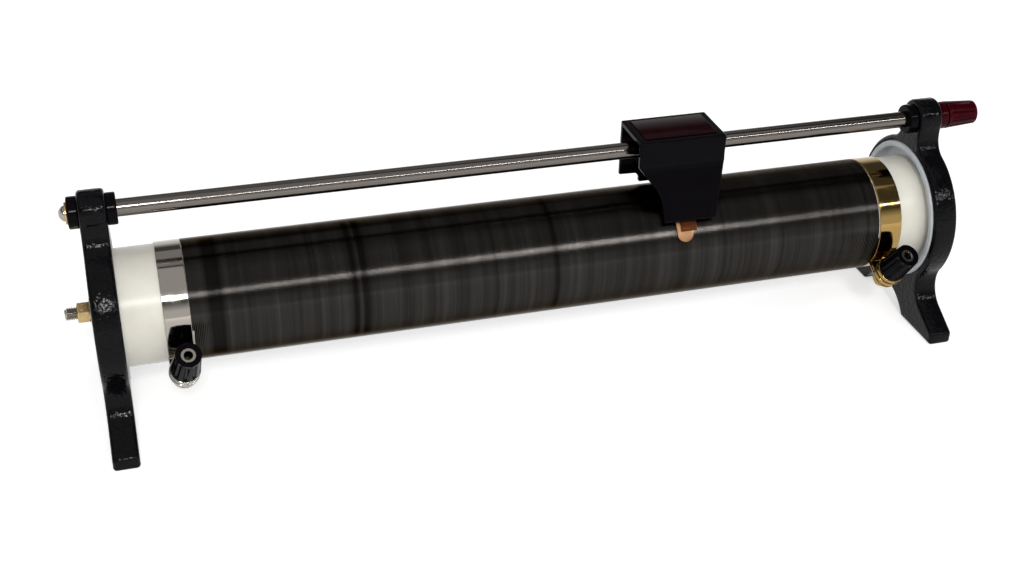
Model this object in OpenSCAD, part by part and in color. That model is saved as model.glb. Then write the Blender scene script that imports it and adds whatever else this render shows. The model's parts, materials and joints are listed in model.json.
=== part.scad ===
// Sliding rheostat: a wire-wound ceramic tube clamped between two cast end plates,
// with a sprung contact that a moulded slider carries along a round rod above the winding.
// X runs along the tube, the front is towards -Y, and the feet stand on Z = 0.

/* [Frame] */
// Clear distance between the two end plates
plate_gap = 393; // [300:1:600]
// Height of the rod axis above the winding
rod_clear = 22.5; // [20:0.1:30]
// Height of the plate ring above the floor
foot_clear = 16; // [15:0.5:40]
// Slider position at rest, from the middle of the frame
slider_rest = 67.5; // [-100:0.5:100]

/* [End plates] */
// Thickness of a plate
plate_t = 12; // [9:0.5:16]
// Width of the plate's rim outside the insulating ring
rim_w = 3; // [2:0.5:6]
// Radius of the boss around the rod
boss_r = 9.5; // [8.5:0.1:14]
// Width of the neck below the boss
neck_w = 18; // [14:0.5:19]
// Fillet between the neck and the ring
neck_fillet = 10; // [4:0.5:14]
// Distance from the middle of a plate to the tip of a toe
toe_reach = 50; // [46:0.5:60]
// Height of the blunt end of a toe
toe_h = 6; // [4:0.5:9]
// Slope of the top of a leg towards its toe
leg_slope = 30; // [20:1:40]
// Fillet between a leg and the ring
leg_fillet = 13; // [8:0.5:16]
// Width of the arch between the legs, on the floor
arch_w = 40; // [30:0.5:44]
// Height of the arch
arch_h = 11; // [8:0.5:12]
// Depth of the seat for the insulating ring
ring_seat = 5; // [3:0.5:6]
// Depth of the dish in the outer face
dish_d = 3; // [1:0.5:4]
// Width of the rim left around the dish
dish_rim = 7; // [5:0.5:10]
// Radius of the hub around the tie rod
hub_r = 10; // [8:0.5:14]

/* [Tube and winding] */
// Outer diameter of the ceramic tube
tube_d = 54.4; // [46:0.2:70]
// Wall of the ceramic tube
tube_wall = 5; // [3:0.5:8]
// Diameter of the resistance wire, which is the thickness of the winding
wire_d = 0.8; // [0.4:0.1:1.2]
// Bare ceramic between the left plate and its band
bare_left = 18; // [8:0.5:30]
// Bare ceramic between the right plate and its band
bare_right = 13.3; // [8:0.5:30]

/* [Insulating rings] */
// Thickness of an insulating ring
ring_t = 6; // [5:0.5:9]
// Width of the lip around its recess
ring_lip = 3; // [2:0.5:5]
// Gap between the tube and the lip
ring_gap = 4.8; // [2:0.1:8]
// Thickness of the floor that the tube end stands on
ring_floor = 2; // [1:0.5:3]
// Height of the spigot inside the tube
spigot_h = 5; // [3:0.5:10]
// Wall of the spigot
spigot_wall = 3; // [2:0.5:5]

/* [Clamp bands] */
// Width of a band
band_w = 11.6; // [8:0.2:16]
// Thickness of the band's sheet
band_t = 0.8; // [0.5:0.1:1.2]
// Thickness of an ear
ear_t = 1; // [0.8:0.1:1.5]
// Gap between the two ears
ear_gap = 0.8; // [0.4:0.1:1.5]
// Distance from the winding to the middle of the post
ear_reach = 8; // [7.5:0.1:12]
// Length of an ear past the middle of the post
ear_end = 6.5; // [5:0.5:9]
// Angle of the ears below the horizontal, at the front
ear_angle = 36; // [25:1:60]
// Lean of the posts towards the right end
post_lean = 6; // [0:1:12]

/* [Terminal posts] */
// Diameter of the socket for a plug
socket_d = 4.1; // [3.8:0.05:4.3]
// Depth of the socket's mouth below the end of its cap
socket_sink = 0.6; // [0.2:0.1:1.5]
// Depth of the socket
socket_depth = 11; // [8:0.5:12]
// Outer diameter of a post's stud
stud_d = 6.5; // [6:0.1:7.2]
// Diameter of the stud's threaded end
stud_thread = 4; // [3:0.1:4.5]
// Diameter of the wire hole through a stud
wire_hole = 2; // [1:0.1:2.4]
// Height of the wire hole above the cap's seat
wire_hole_h = 2; // [1.5:0.1:3]
// Outer diameter of a cap at its foot
cap_d = 13.6; // [12.5:0.1:16]
// Outer diameter of a cap at its end
cap_end_d = 11.6; // [11:0.1:14]
// Length of a cap
cap_len = 16.2; // [15:0.1:20]
// Rounding of a cap's end
cap_round = 2; // [1:0.1:2.2]
// Gap around the stud in a cap's mouth
cap_play = 0.3; // [0.3:0.1:0.6]
// Number of flutes around a cap
flute_count = 10; // [8:1:16]
// Radius of a flute
flute_r = 1.2; // [0.5:0.1:1.3]
// Outer diameter of the threaded insert in a cap
insert_d = 9.4; // [8.6:0.1:10]
// Length of the threaded insert
insert_len = 8.8; // [6:0.1:9]
// Height of the plated collar under a cap
collar_h = 5; // [3:0.1:8]
// Height of the red base on the rod's end
red_base_h = 5; // [4.5:0.1:12]
// Groove between a cap and its seat
cap_notch = 0.5; // [0.4:0.1:1]

/* [Fasteners] */
// Width across flats of a post nut
post_nut_af = 7.6; // [7:0.1:9]
// Height of a post nut
post_nut_h = 3.2; // [2:0.1:4]
// Thickness of a post washer
post_washer_t = 0.8; // [0.5:0.1:1.2]
// Length of stud past its nut
stud_past = 1.6; // [0.5:0.1:3]
// Diameter of the tie rod
tie_d = 6; // [5:0.1:7]
// Length of tie rod past its nut
tie_past = 5.5; // [2:0.1:8]
// Width across flats of a tie rod nut
tie_nut_af = 9; // [8.5:0.1:12]
// Height of a tie rod nut
tie_nut_h = 5.5; // [3:0.1:7]
// Diameter of a tie rod washer
tie_washer_d = 13; // [11:0.5:15]
// Thickness of a tie rod washer
tie_washer_t = 1.2; // [0.8:0.1:2]

/* [Slide rod] */
// Diameter of the rod
rod_d = 8; // [7.5:0.1:9]
// Diameter of a bush flange
bush_d = 14.5; // [13.5:0.1:16]
// Thickness of a bush flange
bush_flange = 4.5; // [3:0.1:6]
// Diameter of a bush sleeve
sleeve_d = 11; // [10.5:0.1:12]
// Diameter of the rod end washer
end_washer_d = 10; // [8:0.1:12]
// Thickness of the rod end washer
end_washer_t = 0.9; // [0.5:0.1:1.5]
// Diameter of the rod end screw's head
end_head_d = 7; // [6:0.1:8]
// Height of the rod end screw's head
end_head_h = 2.8; // [2:0.1:3.4]
// Diameter of the screw thread in the rod
end_thread = 4; // [3:0.1:4.5]
// Length of rod inside the red base
rod_past = 3.5; // [2:0.5:5]
// Depth of a tapped hole in the rod's ends
tap_depth = 10; // [6:0.5:14]

/* [Slider] */
// Length of the housing along the rod
hood_l = 43; // [38:0.5:60]
// Depth of the housing from front to back
hood_d = 28; // [26:0.5:34]
// Height of the housing's top above the rod axis
hood_rise = 9.4; // [8.5:0.1:14]
// Wall of the housing
hood_wall = 2.5; // [2:0.1:3.5]
// Drop from the rod axis to the foot of the straight front wall
front_drop = 3.2; // [2:0.1:8]
// Height of the straight back wall's foot above the winding
back_lift = 4; // [2.5:0.1:8]
// Width of the front tongue at its foot
tongue_w = 26.4; // [20:0.2:32]
// Shift of the tongue's middle from the housing's middle
tongue_shift = 2; // [-3:0.2:3]
// Height of the slope from the housing's left edge into the tongue
shoulder_drop = 13.4; // [8:0.2:16]
// Height of the tongue's foot above the winding
tongue_lift = 5; // [4.4:0.1:8]
// Angle of the tongue's foot above the horizontal
tongue_angle = 42; // [35:0.5:50]
// Radius of the curve into the back lip
lip_fillet = 4; // [1:0.5:5]
// Gap between the back lip and the winding
lip_gap = 1; // [0.6:0.1:2]
// Length of the carriage block
carriage_l = 28; // [24:0.5:36]
// Drop from the rod axis to the carriage's underside
carriage_drop = 12; // [9:0.1:13]
// Width of the contact leaf
leaf_w = 8; // [7:0.2:12]
// Thickness of the contact leaf
leaf_t = 0.8; // [0.5:0.1:1]
// Angle of the bend where the leaves leave the winding
leaf_bend_angle = 68; // [62:1:72]
// Distance from the rod's middle to the back end of the leaves
leaf_back = 7; // [6.5:0.5:10]
// Distance from the rod's middle to the front leaf screw
leaf_screw_front = 5; // [4:0.5:6]
// Distance from the rod's middle to the back leaf screw
leaf_screw_back = 3.5; // [3:0.5:4]
// Angle of the contact leaf's tip above the horizontal
leaf_tip_angle = 24; // [18:1:28]
// Gap under each leaf, where the real one presses
leaf_gap = 0.3; // [0.3:0.1:0.8]
// Width of the backing leaf
backing_w = 8; // [7.6:0.2:10]
// Shift of the backing leaf from the housing's middle
backing_shift = 2; // [-2:0.2:2]
// Thickness of the backing leaf
backing_t = 0.6; // [0.4:0.1:0.8]
// Angle of the backing leaf's tip above the horizontal
backing_tip_angle = 34; // [30:1:40]
// Diameter of a slider screw's thread
screw_d = 3; // [2.5:0.1:3.2]
// Diameter of a slider screw's head
screw_head_d = 5.4; // [5:0.1:6]
// Height of a slider screw's head
screw_head_h = 1.7; // [1.2:0.1:2]
// Depth of a slider screw in the carriage
screw_depth = 6; // [4:0.5:7]
// Distance between the housing screws
housing_screw_gap = 18; // [14:0.5:20]
// Drop from the rod axis to the housing screws
housing_screw_drop = 8; // [7:0.1:9]
// Thickness of the plain label on top
label_t = 0.5; // [0.3:0.1:0.8]
// Border of housing left around the label
label_margin = 3.5; // [2:0.5:5]

/* [Hidden] */
// Radial gap between parts that run or screw on each other
run_fit = 0.05;
// Radial gap between parts that are slipped together
slip_fit = 0.1;
// Radial gap of a bolt hole
bolt_fit = 0.2;
// How far a cutter reaches past the face that it opens
past = 1;
// How many degrees a curved strip runs past the edge that trims it
sweep_angle = 1.5;
// Fine step where a fillet meets a face
fillet_step = 0.02;

tube_r = tube_d / 2;
tube_ir = tube_r - tube_wall;
winding_r = tube_r + run_fit + wire_d;
band_r = tube_r + run_fit + band_t;
rod_r = rod_d / 2;
rod_h = winding_r + rod_clear;

ring_in = tube_r + ring_gap;
ring_r = ring_in + ring_lip;
seat_r = ring_r + slip_fit;
rim_r = ring_r + rim_w;
axis_h = rim_r + foot_clear;

inner_x = plate_gap / 2;
outer_x = inner_x + plate_t;
seat_x = inner_x + ring_seat;
tube_end = seat_x - ring_floor;
left_band_x = -inner_x + bare_left + band_w / 2;
right_band_x = inner_x - bare_right - band_w / 2;
winding_left = left_band_x + band_w / 2;
winding_right = right_band_x - band_w / 2;

// A fillet's corner is filled from inside the ring to the fillet's centre, then cut round
core_r = rim_r - rim_w;

// The neck fillet touches the neck's side and the ring from outside
neck_cy = neck_w / 2 + neck_fillet;
neck_c = [neck_cy, sqrt(pow(rim_r + neck_fillet, 2) - pow(neck_cy, 2))];
neck_in = neck_c * core_r / (rim_r + neck_fillet);

// The leg fillet touches the ring and the sloping top of the leg
toe_z = toe_h - axis_h;
leg_n = [sin(leg_slope), cos(leg_slope)];
leg_e = [-cos(leg_slope), sin(leg_slope)];
leg_a = [toe_reach, toe_z] + leg_fillet * leg_n;
leg_d = rim_r + leg_fillet;
leg_s = -leg_a * leg_e - sqrt(pow(leg_a * leg_e, 2) - leg_a * leg_a + pow(leg_d, 2));
leg_c = leg_a + leg_s * leg_e;
leg_in = leg_c * core_r / leg_d;
leg_on_slope = leg_c - leg_fillet * leg_n;

// The arch is a circle that passes through its top and both its feet on the floor
arch_r = (pow(arch_w / 2, 2) + pow(arch_h, 2)) / (2 * arch_h);
arch_z = arch_h - arch_r - axis_h;

sleeve_len = (plate_t - 2 * bolt_fit) / 2;
rod_left = -outer_x - bush_flange;
rod_right = outer_x + rod_past;

tie_end = outer_x + tie_washer_t + tie_nut_h + tie_past;
red_seat = outer_x + red_base_h;
red_end = red_seat + cap_notch + cap_len;
frame_x = (tie_end - red_end) / 2;

ear_r = winding_r + ear_reach;
ear_top = ear_gap / 2 + ear_t;
post_seat = ear_top + collar_h;
stud_r = stud_d / 2;
stud_end = cap_notch + cap_len - socket_sink;
cap_hole_r = stud_r + cap_play;
flute_tilt = atan((cap_d - cap_end_d) / 2 / cap_len);

hood_top = rod_h + hood_rise;
hood_y = hood_d / 2;
hood_in_y = hood_y - hood_wall;
front_z = rod_h - front_drop;
back_z = winding_r + back_lift;
tongue_r = winding_r + tongue_lift;
tongue_out = [-tongue_r * cos(tongue_angle), tongue_r * sin(tongue_angle)];
tongue_run = tongue_out - [-hood_y, front_z];
tongue_lean = atan2(-tongue_run[0], -tongue_run[1]);
tongue_in = tongue_out + hood_wall * [cos(tongue_lean), -sin(tongue_lean)];
tongue_left = tongue_shift - tongue_w / 2;
tongue_right = tongue_shift + tongue_w / 2;
tongue_foot = tongue_in[1] - past;
lip_r = winding_r + lip_gap;
lip_z = sqrt(pow(lip_r, 2) - pow(hood_in_y, 2));
carriage_z = rod_h - carriage_drop;
carriage_top = hood_top - hood_wall;

leaf_in = winding_r + leaf_gap;
leaf_out = leaf_in + leaf_t;
backing_in = leaf_out + leaf_gap;
leaf_y = -leaf_out * cos(leaf_bend_angle);
leaf_screw_y = [-leaf_screw_front, leaf_screw_back];
housing_screw_x = [-housing_screw_gap / 2, housing_screw_gap / 2];
housing_screw_z = rod_h - housing_screw_drop;
screw_hole = screw_d / 2 + slip_fit;

black = [0.07, 0.065, 0.075];
enamel = [0.05, 0.05, 0.055];
nickel = [0.78, 0.77, 0.74];
brass = [0.72, 0.57, 0.28];
copper = [0.87, 0.62, 0.43];
cream = [0.88, 0.87, 0.82];
pale_grey = [0.78, 0.80, 0.82];
wire_grey = [0.20, 0.21, 0.23];
red = [0.47, 0.05, 0.10];
maroon = [0.22, 0.04, 0.08];
$fn = 64;

// Places

// From the middle of the tube axis to the part's own frame
module on_frame() {
  translate([frame_x, 0, axis_h]) children();
}

// A shape along Z is turned to lie along X
module along_x() {
  rotate([0, 90, 0]) children();
}

// On the axis of the slide rod
module on_rod() {
  on_frame() translate([0, 0, rod_h]) children();
}

// On the slider, at the tube axis below the middle of the housing
module on_slider() {
  on_frame() translate([slider_rest, 0, 0]) children();
}

// A profile in Y and Z is drawn out along X, about its middle
module drawn_x(length) {
  rotate([90, 0, 90]) translate([0, 0, -length / 2]) linear_extrude(length) children();
}

// On a band's ears: the origin is between the ears and Z is the post's axis
module on_ears(band_x) {
  on_frame() translate([band_x, 0, 0])
    rotate([ear_angle, 0, 0]) translate([0, -ear_r, 0]) rotate([0, post_lean, 0])
      children();
}

// On the seat of the red post, with Z out of the right end
module on_red_seat() {
  on_rod() translate([red_seat, 0, 0]) along_x() children();
}

// Plain shapes

module pipe(outer_r, inner_r, length) {
  difference() {
    cylinder(r = outer_r, h = length);
    translate([0, 0, -past]) cylinder(r = inner_r, h = length + 2 * past);
  }
}

module hex_nut(flats, hole_r, height) {
  difference() {
    cylinder(d = flats / cos(30), h = height, $fn = 6);
    translate([0, 0, -past]) cylinder(r = hole_r, h = height + 2 * past);
  }
}

// Part of a ring around the tube, between two angles above the front horizontal
module ring_sector(inner_r, outer_r, from, to) {
  reach = 2 * outer_r;
  intersection() {
    difference() {
      circle(r = outer_r);
      circle(r = inner_r);
    }
    polygon([
      [0, 0],
      reach * [-cos(from), sin(from)],
      reach * [-cos((from + to) / 2), sin((from + to) / 2)],
      reach * [-cos(to), sin(to)]
    ]);
  }
}

// End plates

// Points of one side, from top to bottom, and their mirror images from bottom to top
function both_sides(points) =
  let (last = len(points) - 1)
    concat(points, [for (i = [last : -1 : 0]) [-points[i][0], points[i][1]]]);

// An outline in Y and Z, as thick as the right plate or reaching past both its faces
module plate_slab(reach = 0) {
  translate([inner_x - reach, 0, 0]) rotate([90, 0, 90])
    linear_extrude(plate_t + 2 * reach) children();
}

// Boss, neck, ring and two splayed legs of the right plate
module plate_body() {
  difference() {
    union() {
      plate_slab() circle(r = rim_r);
      plate_slab() translate([0, rod_h]) circle(r = boss_r);
      plate_slab() translate([-neck_w / 2, 0]) square([neck_w, rod_h]);
      plate_slab() polygon(both_sides([neck_c, neck_in]));
      plate_slab() polygon(both_sides([
        leg_in,
        leg_c,
        leg_on_slope,
        [toe_reach, toe_z],
        [toe_reach, -axis_h]
      ]));
    }
    for (side = [-1, 1]) {
      plate_slab(past) translate([side * neck_c[0], neck_c[1]]) circle(r = neck_fillet - fillet_step);
      plate_slab(past) translate([side * leg_c[0], leg_c[1]]) circle(r = leg_fillet - fillet_step);
    }
    plate_slab(past) translate([0, arch_z]) circle(r = arch_r);
  }
}

// The right plate, about the middle of the tube axis
module end_plate() {
  color(enamel) difference() {
    plate_body();
    translate([inner_x - past, 0, 0]) along_x() cylinder(r = seat_r, h = ring_seat + past);
    translate([outer_x - dish_d, 0, 0]) along_x() pipe(rim_r - dish_rim, hub_r, dish_d + past);
    translate([inner_x - past, 0, 0]) along_x()
      cylinder(r = tie_d / 2 + bolt_fit, h = plate_t + 2 * past);
    translate([inner_x - past, 0, rod_h]) along_x()
      cylinder(r = sleeve_d / 2 + run_fit, h = plate_t + 2 * past);
  }
}

module left_end_plate() {
  on_frame() mirror([1, 0, 0]) end_plate();
}

module right_end_plate() {
  on_frame() end_plate();
}

// Insulating ring with a lip, a floor for the tube end and a spigot inside the tube
module end_ring() {
  spigot_r = tube_ir - slip_fit;
  color(pale_grey) translate([seat_x, 0, 0]) rotate([0, -90, 0]) {
    pipe(ring_r, ring_in, ring_t);
    pipe(ring_r, tie_d / 2 + past, ring_floor);
    pipe(spigot_r, spigot_r - spigot_wall, ring_floor + spigot_h);
  }
}

module left_end_ring() {
  on_frame() mirror([1, 0, 0]) end_ring();
}

module right_end_ring() {
  on_frame() end_ring();
}

// Tube and winding

module ceramic_tube() {
  color(cream) on_frame() translate([-tube_end, 0, 0]) along_x()
    pipe(tube_r, tube_ir, 2 * tube_end);
}

module resistance_winding() {
  color(wire_grey) on_frame() translate([winding_left, 0, 0]) along_x()
    pipe(winding_r, tube_r + run_fit, winding_right - winding_left);
}

// A band around the tube, slit between two ears that the post clamps together
module clamp_band(band_x) {
  ear_root = ear_r - tube_r - band_t;
  color(nickel) difference() {
    union() {
      on_frame() translate([band_x - band_w / 2, 0, 0]) along_x()
        pipe(band_r, tube_r + run_fit, band_w);
      on_ears(band_x) translate([-band_w / 2, -ear_end, -ear_top])
        cube([band_w, ear_end + ear_root, 2 * ear_top]);
    }
    on_ears(band_x) {
      translate([-band_w, -ear_end - past, -ear_gap / 2])
        cube([2 * band_w, ear_end + ear_r - tube_ir + past, ear_gap]);
      translate([0, 0, -ear_top - past])
        cylinder(r = stud_thread / 2 + bolt_fit, h = 2 * (ear_top + past));
    }
  }
}

module left_clamp_band() {
  clamp_band(left_band_x);
}

module right_clamp_band() {
  clamp_band(right_band_x);
}

// Tie rod

module tie_rod() {
  color(nickel) on_frame() translate([-tie_end, 0, 0]) along_x()
    cylinder(d = tie_d, h = 2 * tie_end);
}

module at_both_ends(x) {
  for (side = [0, 1])
    on_frame() mirror([side, 0, 0]) translate([x, 0, 0]) along_x() children();
}

module tie_rod_washers() {
  color(nickel) at_both_ends(outer_x)
    pipe(tie_washer_d / 2, tie_d / 2 + slip_fit, tie_washer_t);
}

module tie_rod_nuts() {
  color(brass) at_both_ends(outer_x + tie_washer_t)
    hex_nut(tie_nut_af, tie_d / 2 + run_fit, tie_nut_h);
}

// Slide rod and its insulating bushes

module slide_rod() {
  tap_r = end_thread / 2 + run_fit;
  color(nickel) on_rod() translate([rod_left, 0, 0]) along_x() difference() {
    cylinder(d = rod_d, h = rod_right - rod_left);
    translate([0, 0, -past]) cylinder(r = tap_r, h = tap_depth + past);
    translate([0, 0, rod_right - rod_left - tap_depth])
      cylinder(r = stud_thread / 2 + run_fit, h = tap_depth + past);
  }
}

// A flange with a sleeve behind it: Z points from the plate to the free face
module bush() {
  color(black) difference() {
    union() {
      cylinder(d = bush_d, h = bush_flange);
      translate([0, 0, -sleeve_len]) cylinder(d = sleeve_d, h = sleeve_len + past);
    }
    translate([0, 0, -sleeve_len - past])
      cylinder(r = rod_r + run_fit, h = sleeve_len + bush_flange + 2 * past);
  }
}

module left_outer_bush() {
  on_rod() translate([-outer_x, 0, 0]) rotate([0, -90, 0]) bush();
}

module left_inner_bush() {
  on_rod() translate([-inner_x, 0, 0]) along_x() bush();
}

module right_inner_bush() {
  on_rod() translate([inner_x, 0, 0]) rotate([0, -90, 0]) bush();
}

module rod_end_washer() {
  color(brass) on_rod() translate([rod_left, 0, 0]) rotate([0, -90, 0])
    pipe(end_washer_d / 2, end_thread / 2 + slip_fit, end_washer_t);
}

// Domed screw with a slot: the dome is the end of a ball through the head's rim
module rod_end_screw() {
  head_r = end_head_d / 2;
  edge_h = end_head_h / 4;
  dome_h = end_head_h - edge_h;
  ball_r = (head_r * head_r + dome_h * dome_h) / (2 * dome_h);
  slot_w = end_head_h / 3;
  color(nickel) on_rod() translate([rod_left - end_washer_t, 0, 0]) rotate([0, -90, 0])
    difference() {
      union() {
        intersection() {
          cylinder(r = head_r, h = end_head_h);
          translate([0, 0, end_head_h - ball_r]) sphere(r = ball_r);
        }
        translate([0, 0, past - tap_depth]) cylinder(d = end_thread, h = tap_depth);
      }
      translate([-head_r - past, -slot_w / 2, end_head_h - slot_w])
        cube([end_head_d + 2 * past, slot_w, slot_w + past]);
    }
}

// Terminal posts: in these modules Z = 0 is the seat under the cap

// Stud with a plug socket in its end and a wire hole through it
module stud_body(root_z, thread_z) {
  color(nickel) difference() {
    union() {
      translate([0, 0, root_z]) cylinder(r = stud_r, h = stud_end - root_z);
      translate([0, 0, thread_z]) cylinder(d = stud_thread, h = root_z - thread_z + past);
    }
    translate([0, 0, stud_end - socket_depth]) cylinder(d = socket_d, h = socket_depth + past);
    translate([0, 0, wire_hole_h]) rotate([90, 0, 0])
      cylinder(d = wire_hole, h = 2 * stud_d, center = true);
  }
}

module cap_insert() {
  color(brass) translate([0, 0, cap_notch])
    pipe(insert_d / 2, stud_r + run_fit, insert_len);
}

// Outline of a cap to one side of its axis: a taper with a rounded end
module cap_profile() {
  end_r = cap_end_d / 2;
  polygon([
    [0, 0],
    [cap_d / 2, 0],
    [end_r, cap_len - cap_round],
    [end_r - cap_round, cap_len],
    [0, cap_len]
  ]);
  translate([end_r - cap_round, cap_len - cap_round]) circle(r = cap_round);
}

module fluted_cap(tint) {
  color(tint) translate([0, 0, cap_notch]) difference() {
    rotate_extrude() cap_profile();
    translate([0, 0, -past])
      cylinder(r = insert_d / 2 + run_fit, h = insert_len + slip_fit + past);
    cylinder(r = cap_hole_r, h = cap_len + past);
    for (i = [0 : flute_count - 1])
      rotate([0, 0, i * 360 / flute_count])
        translate([cap_d / 2 + flute_r / 2, 0, 0]) rotate([0, -flute_tilt, 0])
          cylinder(r = flute_r, h = 3 * cap_len, center = true);
  }
}

module post_stud(band_x) {
  low = -ear_top - post_washer_t - post_nut_h - stud_past - post_seat;
  on_ears(band_x) translate([0, 0, post_seat]) stud_body(-collar_h, low);
}

module post_collar(band_x) {
  color(nickel) on_ears(band_x) translate([0, 0, ear_top])
    pipe(cap_d / 2, stud_r + slip_fit, collar_h);
}

module post_washer(band_x) {
  color(nickel) on_ears(band_x) translate([0, 0, -ear_top - post_washer_t])
    pipe(post_nut_af / 2 + past, stud_thread / 2 + slip_fit, post_washer_t);
}

module post_nut(band_x) {
  color(nickel) on_ears(band_x) translate([0, 0, -ear_top - post_washer_t - post_nut_h])
    hex_nut(post_nut_af, stud_thread / 2 + run_fit, post_nut_h);
}

module post_insert(band_x) {
  on_ears(band_x) translate([0, 0, post_seat]) cap_insert();
}

module post_cap(band_x) {
  on_ears(band_x) translate([0, 0, post_seat]) fluted_cap(black);
}

module red_post_base() {
  rod_room = rod_right - outer_x;
  color(red) on_red_seat() difference() {
    union() {
      translate([0, 0, -red_base_h]) cylinder(d = cap_d, h = red_base_h);
      translate([0, 0, -red_base_h - sleeve_len]) cylinder(d = sleeve_d, h = sleeve_len + past);
    }
    translate([0, 0, -red_base_h - sleeve_len - past])
      cylinder(r = rod_r + run_fit, h = sleeve_len + rod_room + past);
    translate([0, 0, -red_base_h]) cylinder(r = stud_r + slip_fit, h = red_base_h + past);
  }
}

module red_post_stud() {
  root_z = rod_right - red_seat;
  on_red_seat() stud_body(root_z, root_z - tap_depth + past);
}

module red_post_insert() {
  on_red_seat() cap_insert();
}

module red_post_cap() {
  on_red_seat() fluted_cap(red);
}

// Slider

// Front view of the tongue: a slope at its left, and a taper all the way down at its right
module tongue_face() {
  polygon([
    [-hood_l / 2, front_z],
    [tongue_left, front_z - shoulder_drop],
    [tongue_left, tongue_foot],
    [tongue_right, tongue_foot],
    [hood_l / 2, front_z]
  ]);
}

// Back view of the lip: as wide as the tongue, with a curve on each side
module lip_face() {
  fillet = min(lip_fillet, back_z - lip_z);
  translate([tongue_left, lip_z]) square([tongue_w, back_z - lip_z]);
  difference() {
    translate([-hood_l / 2, back_z - fillet]) square([hood_l, fillet]);
    for (side = [-1, 1])
      translate([tongue_shift + side * (tongue_w / 2 + fillet), back_z - fillet]) {
        circle(r = fillet);
        translate([side * hood_l / 2, 0]) square([hood_l, 2 * fillet], center = true);
      }
  }
}

// A wall with a side profile in Y and Z, cut to a front view in X and Z
module cut_wall(face_y) {
  intersection() {
    drawn_x(hood_l) children(0);
    translate([0, face_y, 0]) rotate([90, 0, 0]) linear_extrude(hood_d) children(1);
  }
}

// Open-ended hood over the rod, with a tongue that reaches down the front of the winding
module slider_housing() {
  color(black) on_slider() difference() {
    union() {
      drawn_x(hood_l) polygon([
        [-hood_y, front_z],
        [-hood_in_y, front_z],
        [-hood_in_y, carriage_top],
        [hood_in_y, carriage_top],
        [hood_in_y, back_z],
        [hood_y, back_z],
        [hood_y, hood_top],
        [-hood_y, hood_top]
      ]);
      cut_wall(-hood_in_y) {
        polygon([[-hood_y, front_z], [-hood_in_y, front_z], tongue_in, tongue_out]);
        tongue_face();
      }
      cut_wall(hood_y + past) {
        polygon([[hood_in_y, lip_z], [hood_y, lip_z], [hood_y, back_z], [hood_in_y, back_z]]);
        lip_face();
      }
    }
    for (x = housing_screw_x)
      translate([x, hood_in_y - past, housing_screw_z]) rotate([-90, 0, 0])
        cylinder(r = screw_hole, h = hood_wall + 2 * past);
  }
}

// Brass block that runs on the rod and carries the housing and the leaves
module slider_carriage() {
  color(brass) on_slider() difference() {
    translate([-carriage_l / 2, -hood_in_y, carriage_z])
      cube([carriage_l, 2 * hood_in_y, carriage_top - carriage_z]);
    translate([-carriage_l / 2 - past, 0, rod_h]) along_x()
      cylinder(r = rod_r + run_fit, h = carriage_l + 2 * past);
    for (y = leaf_screw_y)
      translate([0, y, carriage_z - past]) cylinder(r = screw_hole, h = screw_depth + 2 * past);
    for (x = housing_screw_x)
      translate([x, hood_in_y - screw_depth - past, housing_screw_z]) rotate([-90, 0, 0])
        cylinder(r = screw_hole, h = screw_depth + 2 * past);
  }
}

// A bent strip: flat under the carriage, straight down, then around the winding
module leaf_strip(width, inner_r, thickness, top_z, tip) {
  outer_r = inner_r + thickness;
  mid_r = inner_r + thickness / 2;
  front_y = leaf_y - (inner_r - leaf_in);
  bend_angle = acos(-(front_y + thickness / 2) / mid_r);
  foot_z = mid_r * sin(bend_angle);
  drawn_x(width) ring_sector(inner_r, outer_r, tip, bend_angle);
  drawn_x(width) translate([front_y, foot_z]) square([thickness, top_z - foot_z]);
  drawn_x(width) translate([front_y, top_z - thickness]) square([leaf_back - front_y, thickness]);
}

module leaf_holes(top_z) {
  for (y = leaf_screw_y)
    translate([0, y, top_z - leaf_w / 2]) cylinder(r = screw_hole, h = leaf_w);
}

// The tip of the contact leaf is cut round by a post that stands on the winding
module contact_leaf() {
  tip_r = leaf_w / 2 + fillet_step;
  tip_turn = leaf_tip_angle + asin(tip_r / leaf_in);
  reach = 2 * leaf_out;
  top_z = carriage_z - backing_t;
  color(copper) on_slider() difference() {
    intersection() {
      leaf_strip(leaf_w, leaf_in, leaf_t, top_z, leaf_tip_angle - sweep_angle);
      rotate([90 - tip_turn, 0, 0]) {
        cylinder(r = tip_r, h = reach);
        translate([-leaf_w, 0, 0]) cube([2 * leaf_w, reach, reach]);
      }
    }
    leaf_holes(top_z);
  }
}

module backing_leaf() {
  color(copper) on_slider() difference() {
    translate([backing_shift, 0, 0])
      leaf_strip(backing_w, backing_in, backing_t, carriage_z, backing_tip_angle);
    leaf_holes(carriage_z);
  }
}

// Screw with a domed head: Z = 0 is the seat and the thread runs to -Z
module dome_screw(length) {
  head_r = screw_head_d / 2;
  ball_r = (head_r * head_r + screw_head_h * screw_head_h) / (2 * screw_head_h);
  slot_w = screw_head_h / 3;
  color(nickel) difference() {
    union() {
      intersection() {
        cylinder(r = head_r, h = screw_head_h);
        translate([0, 0, screw_head_h - ball_r]) sphere(r = ball_r);
      }
      translate([0, 0, -length]) cylinder(d = screw_d, h = length + slot_w);
    }
    translate([-head_r - past, -slot_w / 2, screw_head_h - slot_w])
      cube([screw_head_d + 2 * past, slot_w, slot_w + past]);
  }
}

module leaf_screws() {
  seat_z = carriage_z - leaf_t - backing_t;
  on_slider() for (y = leaf_screw_y)
    translate([0, y, seat_z]) rotate([180, 0, 0])
      dome_screw(leaf_t + backing_t + screw_depth);
}

module housing_screws() {
  on_slider() for (x = housing_screw_x)
    translate([x, hood_y, housing_screw_z]) rotate([-90, 0, 0])
      dome_screw(hood_wall + screw_depth);
}

module slider_label() {
  color(maroon) on_slider()
    translate([label_margin - hood_l / 2, label_margin - hood_y, hood_top])
      cube([hood_l - 2 * label_margin, hood_d - 2 * label_margin, label_t]);
}

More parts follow.
